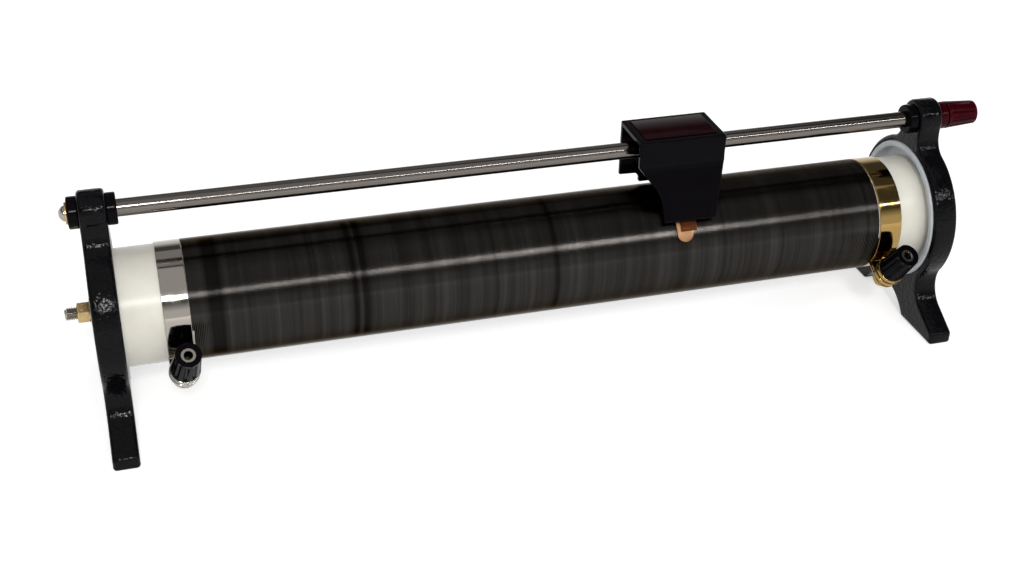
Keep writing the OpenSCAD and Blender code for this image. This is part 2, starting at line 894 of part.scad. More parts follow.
left_end_plate();
right_end_plate();
left_end_ring();
right_end_ring();
ceramic_tube();
resistance_winding();
left_clamp_band();
right_clamp_band();
tie_rod();
tie_rod_nuts();
tie_rod_washers();
slide_rod();
left_outer_bush();
left_inner_bush();
right_inner_bush();
rod_end_washer();
rod_end_screw();
post_stud(left_band_x);  // left_post_stud
post_collar(left_band_x);  // left_post_collar
post_washer(left_band_x);  // left_post_washer
post_nut(left_band_x);  // left_post_nut
post_insert(left_band_x);  // left_post_insert
post_cap(left_band_x);  // left_post_cap
post_stud(right_band_x);  // right_post_stud
post_collar(right_band_x);  // right_post_collar
post_washer(right_band_x);  // right_post_washer
post_nut(right_band_x);  // right_post_nut
post_insert(right_band_x);  // right_post_insert
post_cap(right_band_x);  // right_post_cap
red_post_base();
red_post_stud();
red_post_insert();
red_post_cap();
slider_housing();
slider_carriage();
contact_leaf();
backing_leaf();
leaf_screws();
housing_screws();
slider_label();
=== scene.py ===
# %% [markdown]
# # A sliding rheostat
#
# The real object is a ceramic tube wound with resistance wire and clamped between two cast
# plates. A moulded slider runs on a round rod above it and presses a copper leaf on the wire.
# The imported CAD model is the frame: every size below is read from it or is a named value in
# millimetres, and every piece rides on one of its bodies.

# %% Load the frame
import json
import math

import bmesh
import bpy
import numpy as np
from mathutils import Matrix, Vector
from mathutils.geometry import delaunay_2d_cdt


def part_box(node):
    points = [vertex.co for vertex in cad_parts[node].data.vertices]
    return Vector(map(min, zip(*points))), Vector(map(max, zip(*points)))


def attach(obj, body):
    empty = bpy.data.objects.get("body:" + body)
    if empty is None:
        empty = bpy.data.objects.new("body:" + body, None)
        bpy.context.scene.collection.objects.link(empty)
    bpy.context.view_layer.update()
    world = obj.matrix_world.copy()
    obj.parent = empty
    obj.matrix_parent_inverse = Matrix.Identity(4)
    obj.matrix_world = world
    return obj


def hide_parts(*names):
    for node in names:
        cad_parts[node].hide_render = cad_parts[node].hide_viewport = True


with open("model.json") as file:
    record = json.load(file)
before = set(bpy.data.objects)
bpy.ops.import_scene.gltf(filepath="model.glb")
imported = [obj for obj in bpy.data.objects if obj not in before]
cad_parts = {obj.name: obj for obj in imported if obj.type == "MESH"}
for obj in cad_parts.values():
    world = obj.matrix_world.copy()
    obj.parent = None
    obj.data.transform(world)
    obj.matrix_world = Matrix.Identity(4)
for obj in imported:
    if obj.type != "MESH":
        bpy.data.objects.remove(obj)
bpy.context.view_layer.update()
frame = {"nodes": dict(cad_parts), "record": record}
MM = 0.001


def corners_of(node):
    """Lowest and highest corner of a CAD node's box, in millimetres."""
    low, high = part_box(node)
    return np.array(low) / MM, np.array(high) / MM


def middle_of(node):
    """Middle of a CAD node's box: half the sum of its two corners."""
    return sum(corners_of(node)) / 2


def extent_of(node):
    """Size of a CAD node's box: its highest corner less its lowest."""
    low, high = corners_of(node)
    return high - low


def ends_of(node):
    """Lowest and highest X of a CAD node's box."""
    return [corner[0] for corner in corners_of(node)]


def radius_of(node):
    """Radius of a round CAD node whose axis lies along X: half its size in Y."""
    return extent_of(node)[1] / 2


AXIS_Z = middle_of("ceramic_tube")[2]
ROD_Z = middle_of("slide_rod")[2]
print("nodes", len(frame["nodes"]), "tube at", AXIS_Z.round(2), "rod at", ROD_Z.round(2))

# %% [markdown]
# ## From grids to meshes
#
# Each surface here is a grid of points worked out with numpy, rows by columns. A grid needs
# only one rule for its faces: a point, its neighbour in the row, and the two behind them make a
# quad. Where a grid closes on itself, such as around an axis, its last column joins its first.

# %% Grids, normals and the piece maker
WELD = 0.0005
SHARP = math.radians(42)
pieces = {}


def grid_faces(rows, columns, close_rows=False, close_columns=False):
    """Quads of a grid: point (r, c) with (r, c+1), (r+1, c+1) and (r+1, c), counted in rows."""
    r, c = np.meshgrid(np.arange(rows - (not close_rows)),
                       np.arange(columns - (not close_columns)), indexing="ij")
    r_next, c_next = (r + 1) % rows, (c + 1) % columns
    quads = [r * columns + c, r * columns + c_next, r_next * columns + c_next,
             r_next * columns + c]
    return np.stack(quads, axis=-1).reshape(-1, 4)


def capped(points):
    """A run of closed sections, rows by columns, with a face on each of its two ends."""
    rows, columns = points.shape[:2]
    ends = np.arange(2 * columns).reshape(2, columns)
    return [(points.reshape(-1, 3), grid_faces(rows, columns, close_columns=True)),
            (points[[0, -1]].reshape(-1, 3), ends)]


def unit(vectors):
    """Vectors divided by their own lengths."""
    return vectors / np.linalg.norm(vectors, axis=-1, keepdims=True)


def dress(mesh, turn_out):
    """Welds the doubles of a mesh, turns its faces outwards if asked, and shades it smooth
    except across edges sharper than the limit."""
    form = bmesh.new()
    form.from_mesh(mesh)
    bmesh.ops.remove_doubles(form, verts=form.verts, dist=WELD * MM)
    if turn_out:
        bmesh.ops.recalc_face_normals(form, faces=form.faces)
    form.to_mesh(mesh)
    form.free()
    mesh.shade_smooth()
    mesh.set_sharp_from_angle(angle=SHARP)


def in_scene(name, data):
    """A new object in the scene that shows a mesh, a lamp or a camera."""
    thing = bpy.data.objects.new(name, data)
    bpy.context.scene.collection.objects.link(thing)
    return thing


def settle(name, mesh, finish, node, body):
    """Puts a finished mesh into the scene, on its body and in the place of its CAD node."""
    thing = in_scene(name, mesh)
    mesh.materials.clear()
    mesh.materials.append(finish)
    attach(thing, body)
    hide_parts(node)
    pieces[name] = len(mesh.polygons)
    return thing


def piece(name, surfaces, finish, node, body="frame"):
    """One piece from several surfaces, each a pair of points in millimetres and faces."""
    starts = np.cumsum([0] + [len(points) for points, _ in surfaces])
    points = np.concatenate([points for points, _ in surfaces]) * MM
    faces = [face for (_, part), start in zip(surfaces, starts)
             for face in (part + start).tolist()]
    mesh = bpy.data.meshes.new(name)
    mesh.from_pydata(points, [], faces)
    dress(mesh, turn_out=True)
    return settle(name, mesh, finish, node, body)


def smooth_copy(name, finish, node, body="frame", edge=0.12):
    """A welded copy of a CAD node whose shape is already right, with its edges eased."""
    mesh = frame["nodes"][node].data.copy()
    mesh.name = name
    dress(mesh, turn_out=False)
    thing = settle(name, mesh, finish, node, body)
    ease = thing.modifiers.new("ease", "BEVEL")
    ease.width = edge * MM
    ease.segments = 2
    ease.limit_method = "ANGLE"
    ease.angle_limit = SHARP
    return thing


print("grid of 3 x 4:", len(grid_faces(3, 4)), "quads")

# %% [markdown]
# ## Soft corners
#
# Nothing cast, moulded or turned has a corner of no radius, and the light line on an eased
# corner is what makes it look solid. A Bevel modifier could ease them all alike. Here the
# outline is eased before it is carried, so that each corner gets its own radius.

# %% Rounded lines and lathe surfaces
ROOM = 0.38  # share of the shorter side that a corner may take
HOLD = 1.25  # place of the point outside a curve's end, where 1 is that end


def soften(corners, radius, steps=4):
    """An open line with its corners eased. Around a corner b it is the curve
    (1-t)^2 a + 2t(1-t) b + t^2 c, where a and c lie on the two sides at the radius. A further
    point outside each end of the curve keeps the flats flat when normals are blended."""
    corners = np.asarray(corners, float)
    mid = corners[1:-1]
    back, ahead = corners[:-2] - mid, corners[2:] - mid
    side = np.minimum(np.linalg.norm(back, axis=1), np.linalg.norm(ahead, axis=1))
    cut = np.minimum(radius, ROOM * side)[:, None]
    a, c = mid + cut * unit(back), mid + cut * unit(ahead)
    t = np.linspace(0, 1, steps + 1)[:, None]
    curve = (1 - t) ** 2 * a[:, None] + 2 * t * (1 - t) * mid[:, None] + t ** 2 * c[:, None]
    before, after = mid + HOLD * (a - mid), mid + HOLD * (c - mid)
    curve = np.concatenate([before[:, None], curve, after[:, None]], axis=1)
    return np.concatenate([corners[:1], curve.reshape(-1, corners.shape[1]), corners[-1:]])


def soften_loop(corners, radius, steps=4):
    """A closed line with its corners eased: the open rule, with the ends wrapped around."""
    corners = np.asarray(corners, float)
    return soften(np.concatenate([corners[-1:], corners, corners[:1]]), radius, steps)[1:-1]


def lathe(profile, origin, axis=(1, 0, 0), steps=96, ring=False, reshape=None):
    """A profile of (along, out) points carried once around an axis: the point is origin +
    along * axis + out * (cos a * side + sin a * up). reshape(along, out, a) may change out."""
    axis = unit(np.asarray(axis, float))
    side = unit(np.cross(axis, (0, 0, 1)))
    up = np.cross(side, axis)
    angle = np.linspace(0, 2 * np.pi, steps, endpoint=False)
    along, out = np.asarray(profile, float).T[..., None]
    out = out + 0 * angle if reshape is None else reshape(along, out, angle)
    around = np.cos(angle)[:, None] * side + np.sin(angle)[:, None] * up
    points = np.asarray(origin) + along[..., None] * axis + out[..., None] * around
    return points.reshape(-1, 3), grid_faces(len(profile), steps, ring, True)


def ring_profile(low, high, hole, rim):
    """Profile of a ring, or of a rod if hole is 0: low to high along the axis, hole to rim out."""
    return [(low, hole), (low, rim), (high, rim), (high, hole)]


def turned(name, corners, radius, finish, node, origin, axis=(1, 0, 0), body="frame",
           solid=False, steps=96):
    """A turned piece: a ring from a closed profile, or a solid from a line that starts and ends
    on the axis."""
    ease = soften if solid else soften_loop
    surface = lathe(ease(corners, radius), origin, axis, steps, not solid)
    return piece(name, [surface], finish, node, body)


print("a square eased to", len(soften_loop(ring_profile(0, 4, 0, 4), 1)), "points")

# %% [markdown]
# ## Finishes
#
# Every finish is a small node tree on the Principled shader. Noise on Object coordinates gives
# the detail its real size in metres, so that it stays put when a piece moves. The helpers below
# add a noise, a colour ramp and a bump, since most finishes need just these.

# %% Helpers for node trees
finishes = []


def node_of(finish, kind, **settings):
    """A new shader node in a finish. A setting is one of its properties, an input socket's
    value, or what is linked to that socket."""
    made = finish.node_tree.nodes.new("ShaderNode" + kind)
    for key, value in settings.items():
        socket = made.inputs.get(key.replace("_", " "))
        if socket is None:
            setattr(made, key, value)
        elif isinstance(value, bpy.types.NodeSocket):
            finish.node_tree.links.new(value, socket)
        else:
            socket.default_value = value
    return made


def new_finish(name, colour, roughness, metallic=0.0, **sockets):
    """A Principled material with its plain sockets set, and its node tree ready for more."""
    finish = bpy.data.materials.new(name)
    finish.use_nodes = True
    finish.diffuse_color = (*colour, 1)
    shader = finish.node_tree.nodes["Principled BSDF"]
    sockets.update(Base_Color=(*colour, 1), Roughness=roughness, Metallic=metallic)
    for key, value in sockets.items():
        shader.inputs[key.replace("_", " ")].default_value = value
    finishes.append(name)
    return finish


def noise_of(finish, scale, detail, stretch=(1, 1, 1), roughness=0.5):
    """A noise on Object coordinates, scale lumps to the metre, squeezed by stretch."""
    place = node_of(finish, "TexCoord").outputs["Object"]
    squeezed = node_of(finish, "Mapping", Vector=place, Scale=stretch).outputs["Vector"]
    return node_of(finish, "TexNoise", Vector=squeezed, Scale=scale, Detail=detail,
                   Roughness=roughness).outputs["Fac"]


def ramp_of(finish, value, stops):
    """A ramp from a value to colours, given as (place, colour) stops."""
    ramp = node_of(finish, "ValToRGB", Fac=value)
    while len(ramp.color_ramp.elements) < len(stops):
        ramp.color_ramp.elements.new(0.5)
    for element, (place, colour) in zip(ramp.color_ramp.elements, stops):
        element.position = place
        element.color = (*np.broadcast_to(colour, 3), 1)
    return ramp.outputs["Color"]


def combine(finish, kind, operation, first, second):
    """Two values put together by an operation of the Math or VectorMath node, such as their
    product or the larger of them."""
    both = node_of(finish, kind, operation=operation)
    finish.node_tree.links.new(first, both.inputs[0])
    finish.node_tree.links.new(second, both.inputs[1])
    return both.outputs[0]


def into(finish, socket, value):
    """Links a value to one of the Principled shader's sockets."""
    shader = finish.node_tree.nodes["Principled BSDF"]
    finish.node_tree.links.new(value, shader.inputs[socket])


def graded(finish, socket, value, stops):
    """Lets one of the shader's sockets follow a value through a ramp."""
    into(finish, socket, ramp_of(finish, value, stops))


def bump_of(finish, value, depth, strength):
    """A bump of a given depth in millimetres from a value."""
    bump = node_of(finish, "Bump", Strength=strength, Distance=depth * MM, Height=value)
    into(finish, "Normal", bump.outputs["Normal"])


print("finishes so far:", finishes)

# %% [markdown]
# ### Hammered enamel, ceramic and the grey rings
#
# The cast plates carry a thick black enamel that shrinks into small dimples as it dries, so
# each highlight breaks into specks. A smooth Voronoi would give cells of one size; noise with
# little detail gives the uneven dimples of the real paint. The tube is a glazed cream ceramic,
# and the rings under its ends are a duller pale grey one.

# %% Enamel and ceramics
enamel = new_finish("hammered_black_enamel", (0.0025, 0.002, 0.003), 0.13,
                    Specular_IOR_Level=0.1)
dimples = noise_of(enamel, 560, detail=1.2)
graded(enamel, "Base Color", dimples, [(0.3, (0.0015, 0.0015, 0.002)),
                                       (0.7, (0.0035, 0.003, 0.004))])
bump_of(enamel, dimples, 0.24, 0.9)

ceramic = new_finish("cream_ceramic", (0.78, 0.75, 0.66), 0.27, Specular_IOR_Level=0.25)
clouds = noise_of(ceramic, 55, detail=5)
graded(ceramic, "Base Color", clouds, [(0.3, (0.72, 0.69, 0.60)), (0.7, (0.82, 0.80, 0.72))])
bump_of(ceramic, noise_of(ceramic, 500, detail=2), 0.08, 0.5)

ring_grey = new_finish("pale_grey_ring", (0.52, 0.55, 0.58), 0.42)
graded(ring_grey, "Base Color", noise_of(ring_grey, 120, detail=4),
       [(0.3, (0.46, 0.49, 0.52)), (0.7, (0.56, 0.59, 0.62))])
bump_of(ring_grey, noise_of(ring_grey, 900, detail=2), 0.05, 0.5)
print("finishes:", finishes)

# %% [markdown]
# ### Wire and bright metals
#
# Resistance wire leaves its annealing dark, and its tone drifts from turn to turn: a noise that
# is stretched across the tube and runs along it makes those streaks. A few turns got hotter and
# are nearly black, which a ramp along the tube gives. Plated steel, brass and copper differ
# mostly in colour, and all get fine wear in their roughness. The plating of the right clamp and
# its post is tinted gold, a painted reflection of warm surroundings, so it is a finish of its own.
# The slide rod's plating is darker and browner than the bands', a painted reflection of a dark
# brown room, and the backing leaf's copper is nearly black, painted shade under the hood.

# %% Metals
SCORCHED = [(-160.0, 3.0), (-98.0, 1.2), (-93.0, 1.2), (-2.0, 1.0)]  # middle, half width
SCORCH_STOPS = ((-1.5, 1.0), (-0.9, 0.4), (0.9, 0.4), (1.5, 1.0))  # half widths, shade
HALF_SPAN = 200.0


def along_tube(finish):
    """Place along the tube as a value: (x + half span) / span, which goes from 0 to 1."""
    place = node_of(finish, "TexCoord").outputs["Object"]
    x = node_of(finish, "SeparateXYZ", Vector=place).outputs["X"]
    return node_of(finish, "MapRange", Value=x, From_Min=-HALF_SPAN * MM,
                   From_Max=HALF_SPAN * MM).outputs["Result"]


wire_metal = new_finish("dark_resistance_wire", (0.0265, 0.0245, 0.0228), 0.15, 1.0,
                        Specular_Tint=(0.48, 0.46, 0.44, 1))
tone = noise_of(wire_metal, 170, detail=8, stretch=(1, 0.012, 0.012), roughness=0.75)
streaks = ramp_of(wire_metal, tone, [(0.34, (0.0155, 0.0138, 0.0126)),
                                     (0.5, (0.0265, 0.0245, 0.0228)),
                                     (0.66, (0.0395, 0.037, 0.035))])
stops = [(0.5 + (x + side * half) / (2 * HALF_SPAN), shade)
         for x, half in SCORCHED for side, shade in SCORCH_STOPS]
heat = ramp_of(wire_metal, along_tube(wire_metal), stops)
into(wire_metal, "Base Color", combine(wire_metal, "VectorMath", "MULTIPLY", streaks, heat))


def metal(name, colour, roughness, grain, depth):
    """A bright metal whose roughness drifts by about half, with a shallow grain."""
    finish = new_finish(name, colour, roughness, 1.0)
    wear = noise_of(finish, grain, detail=5)
    graded(finish, "Roughness", wear, [(0.3, 0.6 * roughness), (0.75, 1.5 * roughness)])
    bump_of(finish, wear, depth, 0.4)
    return finish


chrome = metal("bright_nickel", (0.34, 0.315, 0.28), 0.08, 260, 0.015)
# Gold tint of the right clamp's and right post's plating: a painted reflection of warm
# surroundings.
gold_reflection_nickel = metal("nickel_painted_gold_reflection", (0.33, 0.22, 0.075), 0.08, 260, 0.015)
# The rod's nickel is darker and browner than the bands': a painted reflection of a dark brown
# room.
rod_nickel_dark_reflection = metal("rod_nickel_painted_reflection", (0.15, 0.135, 0.124), 0.13, 420, 0.02)
brass = metal("turned_brass", (0.48, 0.35, 0.17), 0.24, 340, 0.04)
copper = metal("sprung_copper", (0.32, 0.175, 0.088), 0.38, 300, 0.04)
# Nearly black copper for the backing leaf: painted shade under the hood.
copper_painted_shade = metal("copper_painted_shade", (0.055, 0.018, 0.007), 0.36, 300, 0.04)
print("finishes:", finishes)

# %% [markdown]
# ### Moulded plastics
#
# The slider, the bushes and two caps are a black moulding compound, and the post on the rod's
# end is a dark red one. A fine leathery noise in the bump and a drift in the roughness keep them
# from looking like a flat colour, and a low specular level keeps them black under a white sky.

# %% Plastics
def plastic(name, colour, roughness, specular):
    """A moulding compound: its colour and roughness drift a little, and its skin is uneven."""
    finish = new_finish(name, colour, roughness, Specular_IOR_Level=specular)
    drift = noise_of(finish, 140, detail=4)
    low, high = 0.75 * np.array(colour), 1.25 * np.array(colour)
    graded(finish, "Base Color", drift, [(0.3, low), (0.7, high)])
    graded(finish, "Roughness", drift, [(0.3, 0.85 * roughness), (0.7, 1.2 * roughness)])
    bump_of(finish, noise_of(finish, 700, detail=2), 0.03, 0.4)
    return finish


black = plastic("black_moulding", (0.002, 0.0015, 0.0025), 0.11, 0.04)
red = plastic("dark_red_moulding", (0.034, 0.0006, 0.003), 0.15, 0.05)
maroon = plastic("bare_maroon_label", (0.013, 0.0015, 0.003), 0.08, 0.03)
print("finishes:", finishes)

# %% [markdown]
# ## The end plates
#
# Each plate is one casting: a ring around the tube's end, a neck up to a boss for the rod, and
# two splayed legs with an arch between them. It could be a curve with a bevel, but the ring's
# seat and the dish need lathe surfaces too. So the outline is a line of arcs, an eased edge is
# carried along it, and each flat face is filled with triangles between the outline and the holes.

# %% The plate's outline
PLATE_T, TOE_REACH = extent_of("right_end_plate")[:2] / (1, 2)  # all of X, half of Y
BOSS_R, BOSS_Z, RIM_R = 9.5, ROD_Z - AXIS_Z, 38.0
NECK_HALF, NECK_FILLET = 9.0, 10.0
LEG_FILLET, LEG_SLOPE = 13.0, math.radians(30)
TOE_H, FLOOR_Z = 6.0, -AXIS_Z
ARCH_HALF, ARCH_H = 20.0, 11.0
ARCH_TRIM = 8.0  # degrees of the arch that its rounded ends take
FOOT_ROUND = [1.6, 1.4, 2.0]


def arc(centre, radius, start, end, steps):
    """Points on a circle from one angle to another, in degrees."""
    a = np.radians(np.linspace(start, end, steps))
    return np.asarray(centre) + radius * np.stack([np.cos(a), np.sin(a)], axis=-1)


def plate_half():
    """Half of the outline, from the boss's top down to the arch's top. The fillets touch the
    ring from outside, so their centres lie at the ring's radius plus their own."""
    neck_y = NECK_HALF + NECK_FILLET
    neck = np.array([neck_y, math.sqrt((RIM_R + NECK_FILLET) ** 2 - neck_y ** 2)])
    neck_turn = math.degrees(math.atan2(neck[1], neck[0]))
    normal = np.array([math.sin(LEG_SLOPE), math.cos(LEG_SLOPE)])
    uphill = np.array([-math.cos(LEG_SLOPE), math.sin(LEG_SLOPE)])
    toe = np.array([TOE_REACH, FLOOR_Z + TOE_H])
    start = toe + LEG_FILLET * normal
    climb = start @ uphill
    reach = -climb - math.sqrt(climb ** 2 - start @ start + (RIM_R + LEG_FILLET) ** 2)
    leg = start + reach * uphill
    leg_turn = math.degrees(math.atan2(leg[1], leg[0]))
    boss_turn = -math.degrees(math.acos(NECK_HALF / BOSS_R))
    arch_r = (ARCH_HALF ** 2 + ARCH_H ** 2) / (2 * ARCH_H)
    arch_turn = math.degrees(math.asin(1 - ARCH_H / arch_r))
    arch = arc((0, FLOOR_Z + ARCH_H - arch_r), arch_r, arch_turn + ARCH_TRIM, 90, 20)
    foot = soften([leg - LEG_FILLET * normal, toe, (TOE_REACH, FLOOR_Z), (ARCH_HALF, FLOOR_Z),
                   arch[0]], FOOT_ROUND)
    return np.concatenate([
        arc((0, BOSS_Z), BOSS_R, 90, boss_turn, 26),
        arc(neck, NECK_FILLET, 180, 180 + neck_turn, 16),
        arc((0, 0), RIM_R, neck_turn, leg_turn, 48)[1:],
        arc(leg, LEG_FILLET, 180 + leg_turn, 270 - math.degrees(LEG_SLOPE), 20)[1:],
        foot[1:-1], arch])


half_outline = plate_half()
print("half outline of", len(half_outline), "points")

# %% The plate's surfaces
PLATE_EDGE = 1.7
EDGE_HOLD = 0.6
SEAT_R, SEAT_DEPTH, SEAT_RIM = 35.1, 5.0, 1.0
DISH_R, DISH_DEPTH, DISH_RIM = 31.0, 3.0, 2.0
DISH_SLOPE = 1.0
BOWL_ROUND = [0.3, 0.3, 0.2, 0.2, 0.8, 0.8, 0.8, 0.8]
HUB_R = 10.0
TIE_HOLE_R = 3.2
BORE_R = 5.55
CIRCLE = 120


def plate_face(x, loop, circles):
    """A flat face at x: the triangles between the outline and its round holes, such that no
    point lies in the circle through any of them."""
    rounds = [arc((0, z), r, 0, 360, CIRCLE + 1)[:-1] for z, r in circles]
    lines = [loop, *rounds]
    starts = np.cumsum([0] + [len(line) for line in lines])
    ring = [(start + np.arange(len(line))).tolist() for start, line in zip(starts, lines)]
    flat = [Vector(point) for point in np.concatenate(lines).tolist()]
    points, _, faces, *_ = delaunay_2d_cdt(flat, [], ring, 2, 1e-6)
    points = np.array([tuple(point) for point in points])
    return np.column_stack([np.full(len(points), x), points]), np.array(faces)


def end_plate(name, outside):
    """A plate from its inner to its outer face: the edge is the outline pushed in by
    e(1 - sin a) while the face comes in by e(1 - cos a), and the bowl between is a lathe."""
    inner, outer = ends_of(name)[::outside]
    mirrored = half_outline[-2:0:-1] * (-1, 1)
    loop = np.concatenate([half_outline, mirrored])
    tangent = np.roll(loop, -1, axis=0) - np.roll(loop, 1, axis=0)
    inward = unit(np.column_stack([tangent[:, 1], -tangent[:, 0]]))
    a = np.linspace(0, np.pi / 2, 6)
    inset = np.append(PLATE_EDGE + EDGE_HOLD, PLATE_EDGE * (1 - np.sin(a)))
    inset = np.concatenate([inset, inset[::-1]])
    depth = np.append(0, PLATE_EDGE * (1 - np.cos(a)))
    depth = np.concatenate([depth, PLATE_T - depth[::-1]])
    rows = loop[None] + inset[:, None, None] * inward[None]
    x = inner + outside * depth
    edge = np.dstack([np.broadcast_to(x[:, None], rows.shape[:2]), rows])
    seat_x, dish_x = inner + outside * SEAT_DEPTH, outer - outside * DISH_DEPTH
    bowl = soften([(inner, SEAT_R + SEAT_RIM), (inner, SEAT_R), (seat_x, SEAT_R),
                   (seat_x, TIE_HOLE_R), (outer, TIE_HOLE_R), (outer, HUB_R),
                   (dish_x, HUB_R + DISH_SLOPE), (dish_x, DISH_R - DISH_SLOPE),
                   (outer, DISH_R), (outer, DISH_R + DISH_RIM)], BOWL_ROUND)
    surfaces = [(edge.reshape(-1, 3), grid_faces(*rows.shape[:2], close_columns=True)),
                lathe(bowl, (0, 0, 0), steps=CIRCLE),
                lathe([(inner, BORE_R), (outer, BORE_R)], (0, 0, BOSS_Z), steps=CIRCLE),
                plate_face(inner, rows[0], [(0, SEAT_R + SEAT_RIM), (BOSS_Z, BORE_R)]),
                plate_face(outer, rows[-1], [(0, DISH_R + DISH_RIM), (BOSS_Z, BORE_R)])]
    lifted = [(points + (0, 0, AXIS_Z), faces) for points, faces in surfaces]
    return piece(name + "_cast", lifted, enamel, name)


for plate, outside in (("left_end_plate", -1), ("right_end_plate", 1)):
    print(end_plate(plate, outside).name, pieces[plate + "_cast"], "faces")

# %% [markdown]
# ## Tube, rings and winding
#
# The tube and the two rings that carry it are plain turned shapes: one closed profile carried
# around the axis. The winding is the eye-catcher. A bumped sleeve would do from far away, but
# the light line along a real winding is made of hundreds of small round wires, so here the wire
# itself is laid: a small section carried along a helix.

# %% Tube and rings
FIT, LOOSE = 0.05, 0.1  # gaps between pieces that run in each other, or only pass
TUBE_R, TUBE_WALL = radius_of("ceramic_tube"), 5.0
axis_at = np.array([0, 0, AXIS_Z])
turned("tube_body", ring_profile(*ends_of("ceramic_tube"), TUBE_R - TUBE_WALL, TUBE_R), 0.8,
       ceramic, "ceramic_tube", axis_at, steps=128)

RING_R, RING_LIP, RING_FLOOR, RING_HOLE = radius_of("right_end_ring"), 3.0, 2.0, 4.0
RING_H = {-1: SEAT_DEPTH, 1: 6.0}  # flush with the left plate, proud of the right one
RING_ROUND = [0.3, 0.9, 0.7, 0.4, 0.3, 0.6, 0.6, 0.3, 0.3, 0.3]
SPIGOT_R, SPIGOT_WALL, SPIGOT_H = TUBE_R - TUBE_WALL - LOOSE, 3.0, 7.0

for node, outside in (("left_end_ring", -1), ("right_end_ring", 1)):
    back = ends_of(node)[::outside][1]
    inside = back - outside * RING_FLOOR
    mouth = back - outside * RING_H[outside]
    spigot = inside - outside * (SPIGOT_H - RING_FLOOR)
    turned(node + "_pressed", [(back, RING_R), (mouth, RING_R), (mouth, RING_R - RING_LIP),
                               (inside, RING_R - RING_LIP), (inside, SPIGOT_R),
                               (spigot, SPIGOT_R), (spigot, SPIGOT_R - SPIGOT_WALL),
                               (inside, SPIGOT_R - SPIGOT_WALL), (inside, RING_HOLE),
                               (back, RING_HOLE)],
           RING_ROUND, ring_grey, node, axis_at, steps=128)
    print(node, "ends at", round(spigot, 2))

# %% The winding
WIRE_CROWN, WIRE_ROOT = 0.08, 0.8
TURNS, PER_TURN, SECTION = 420, 38, 6


def helix_wire(start, end, radius):
    """A section on a helix: the centre runs along X while it turns. The section's crown is
    height * (1 - w^2), where w goes from -1 to 1 across the pitch, and one root point closes
    it."""
    t = np.linspace(0, 1, TURNS * PER_TURN + 1)[:, None]
    w = np.linspace(1, -1, SECTION - 1)
    half_pitch = (end - start) / (TURNS + 1) / 2
    x = start + half_pitch + t * (end - start - 2 * half_pitch) + half_pitch * np.append(w, 0)
    out = radius + np.append(WIRE_CROWN * (1 - w ** 2), -WIRE_ROOT)
    turn = 2 * np.pi * TURNS * t
    return capped(np.stack([x, -np.cos(turn) * out, AXIS_Z + np.sin(turn) * out], axis=-1))


wire = helix_wire(*ends_of("resistance_winding"), radius_of("resistance_winding") - WIRE_CROWN)
piece("winding_wire", wire, wire_metal, "resistance_winding")
print("winding:", TURNS, "turns,", pieces["winding_wire"], "faces")

# %% [markdown]
# ## Strips
#
# Clamp bands, leaves and the slider's hood are all a strip that is bent to shape. A curve with a
# flat bevel would keep one width, and these change theirs along the run. So a strip is given by
# the line of its outer face and that of its inner face, and by its left and right edge in X. A
# small rounded section is set across it at every row, and shrinks at both ends so that the ends
# are eased as well.

# %% The strip surface
ARC_STEPS = 3
SIDE_HOLD = 1.6
END_CLEAR = 1.2  # how many edges the line's own rows keep from both ends


def section_rule():
    """Each point of a rounded section as (sx, cx, sn, cn): x = sx * half width + cx * edge and
    n = sn * half thickness + cn * edge. Every corner is a quarter arc with a point on each
    side."""
    a = np.linspace(0, np.pi / 2, ARC_STEPS + 1)
    across = np.concatenate([[0], np.cos(a) - 1, [-SIDE_HOLD]])
    through = np.concatenate([[-SIDE_HOLD], np.sin(a) - 1, [0]])
    ones = np.ones_like(across)
    corner = np.column_stack([ones, across, ones, through])
    flip_x, flip_n = np.array([-1, -1, 1, 1]), np.array([1, 1, -1, -1])
    return np.concatenate([corner, corner[::-1] * flip_x, corner * flip_x * flip_n,
                           corner[::-1] * flip_n]).T


def strip(outer, inner, left, right, edge, twist=0.0):
    """A bent strip between two lines of (y, z) points. The section lies on X and on the step
    from the inner to the outer line, turned by twist, and its ends shrink by edge(1 - sin a)
    over the last edge(1 - cos a) of the run."""
    outer, inner = np.asarray(outer, float), np.asarray(inner, float)
    mid = (outer + inner) / 2
    run = np.concatenate([[0], np.cumsum(np.linalg.norm(np.diff(mid, axis=0), axis=1))])
    a = np.linspace(0, np.pi / 2, ARC_STEPS + 1)
    start = edge * (1 - np.cos(a))
    clear = END_CLEAR * edge
    body = run[(run > clear) & (run < run[-1] - clear)]
    at = np.concatenate([start, body, run[-1] - start[::-1]])
    shrink = edge * (1 - np.sin(a))
    inset = np.concatenate([shrink, 0 * body, shrink[::-1]])

    def along(values):
        """Values on the line's points, read at the places of the rows."""
        return np.interp(at, run, np.broadcast_to(values, run.shape))

    place = np.column_stack([along(values) for values in mid.T])
    step = np.column_stack([along(values) for values in (outer - inner).T])
    thick = np.linalg.norm(step, axis=1)
    normal = step / thick[:, None]
    sx, cx, sn, cn = section_rule()[:, None]
    width = ((along(right) - along(left)) / 2 - inset)[:, None]
    depth = (thick / 2 - inset)[:, None]
    ease = (edge - inset)[:, None]
    x, n = sx * width + cx * ease, sn * depth + cn * ease
    tilt = along(twist)[:, None]
    x, n = x * np.cos(tilt) - n * np.sin(tilt), x * np.sin(tilt) + n * np.cos(tilt)
    return capped(np.stack([x + (along(left) + along(right))[:, None] / 2,
                            place[:, :1] + n * normal[:, :1],
                            place[:, 1:] + n * normal[:, 1:] + AXIS_Z], axis=-1))


def both_faces(path, thick):
    """The outer and inner line of a strip from its middle line: half the thickness to each
    side, square to the run."""
    step = np.gradient(path, axis=0)
    square = unit(np.column_stack([-step[:, 1], step[:, 0]])) * np.reshape(thick, (-1, 1)) / 2
    return path + square, path - square


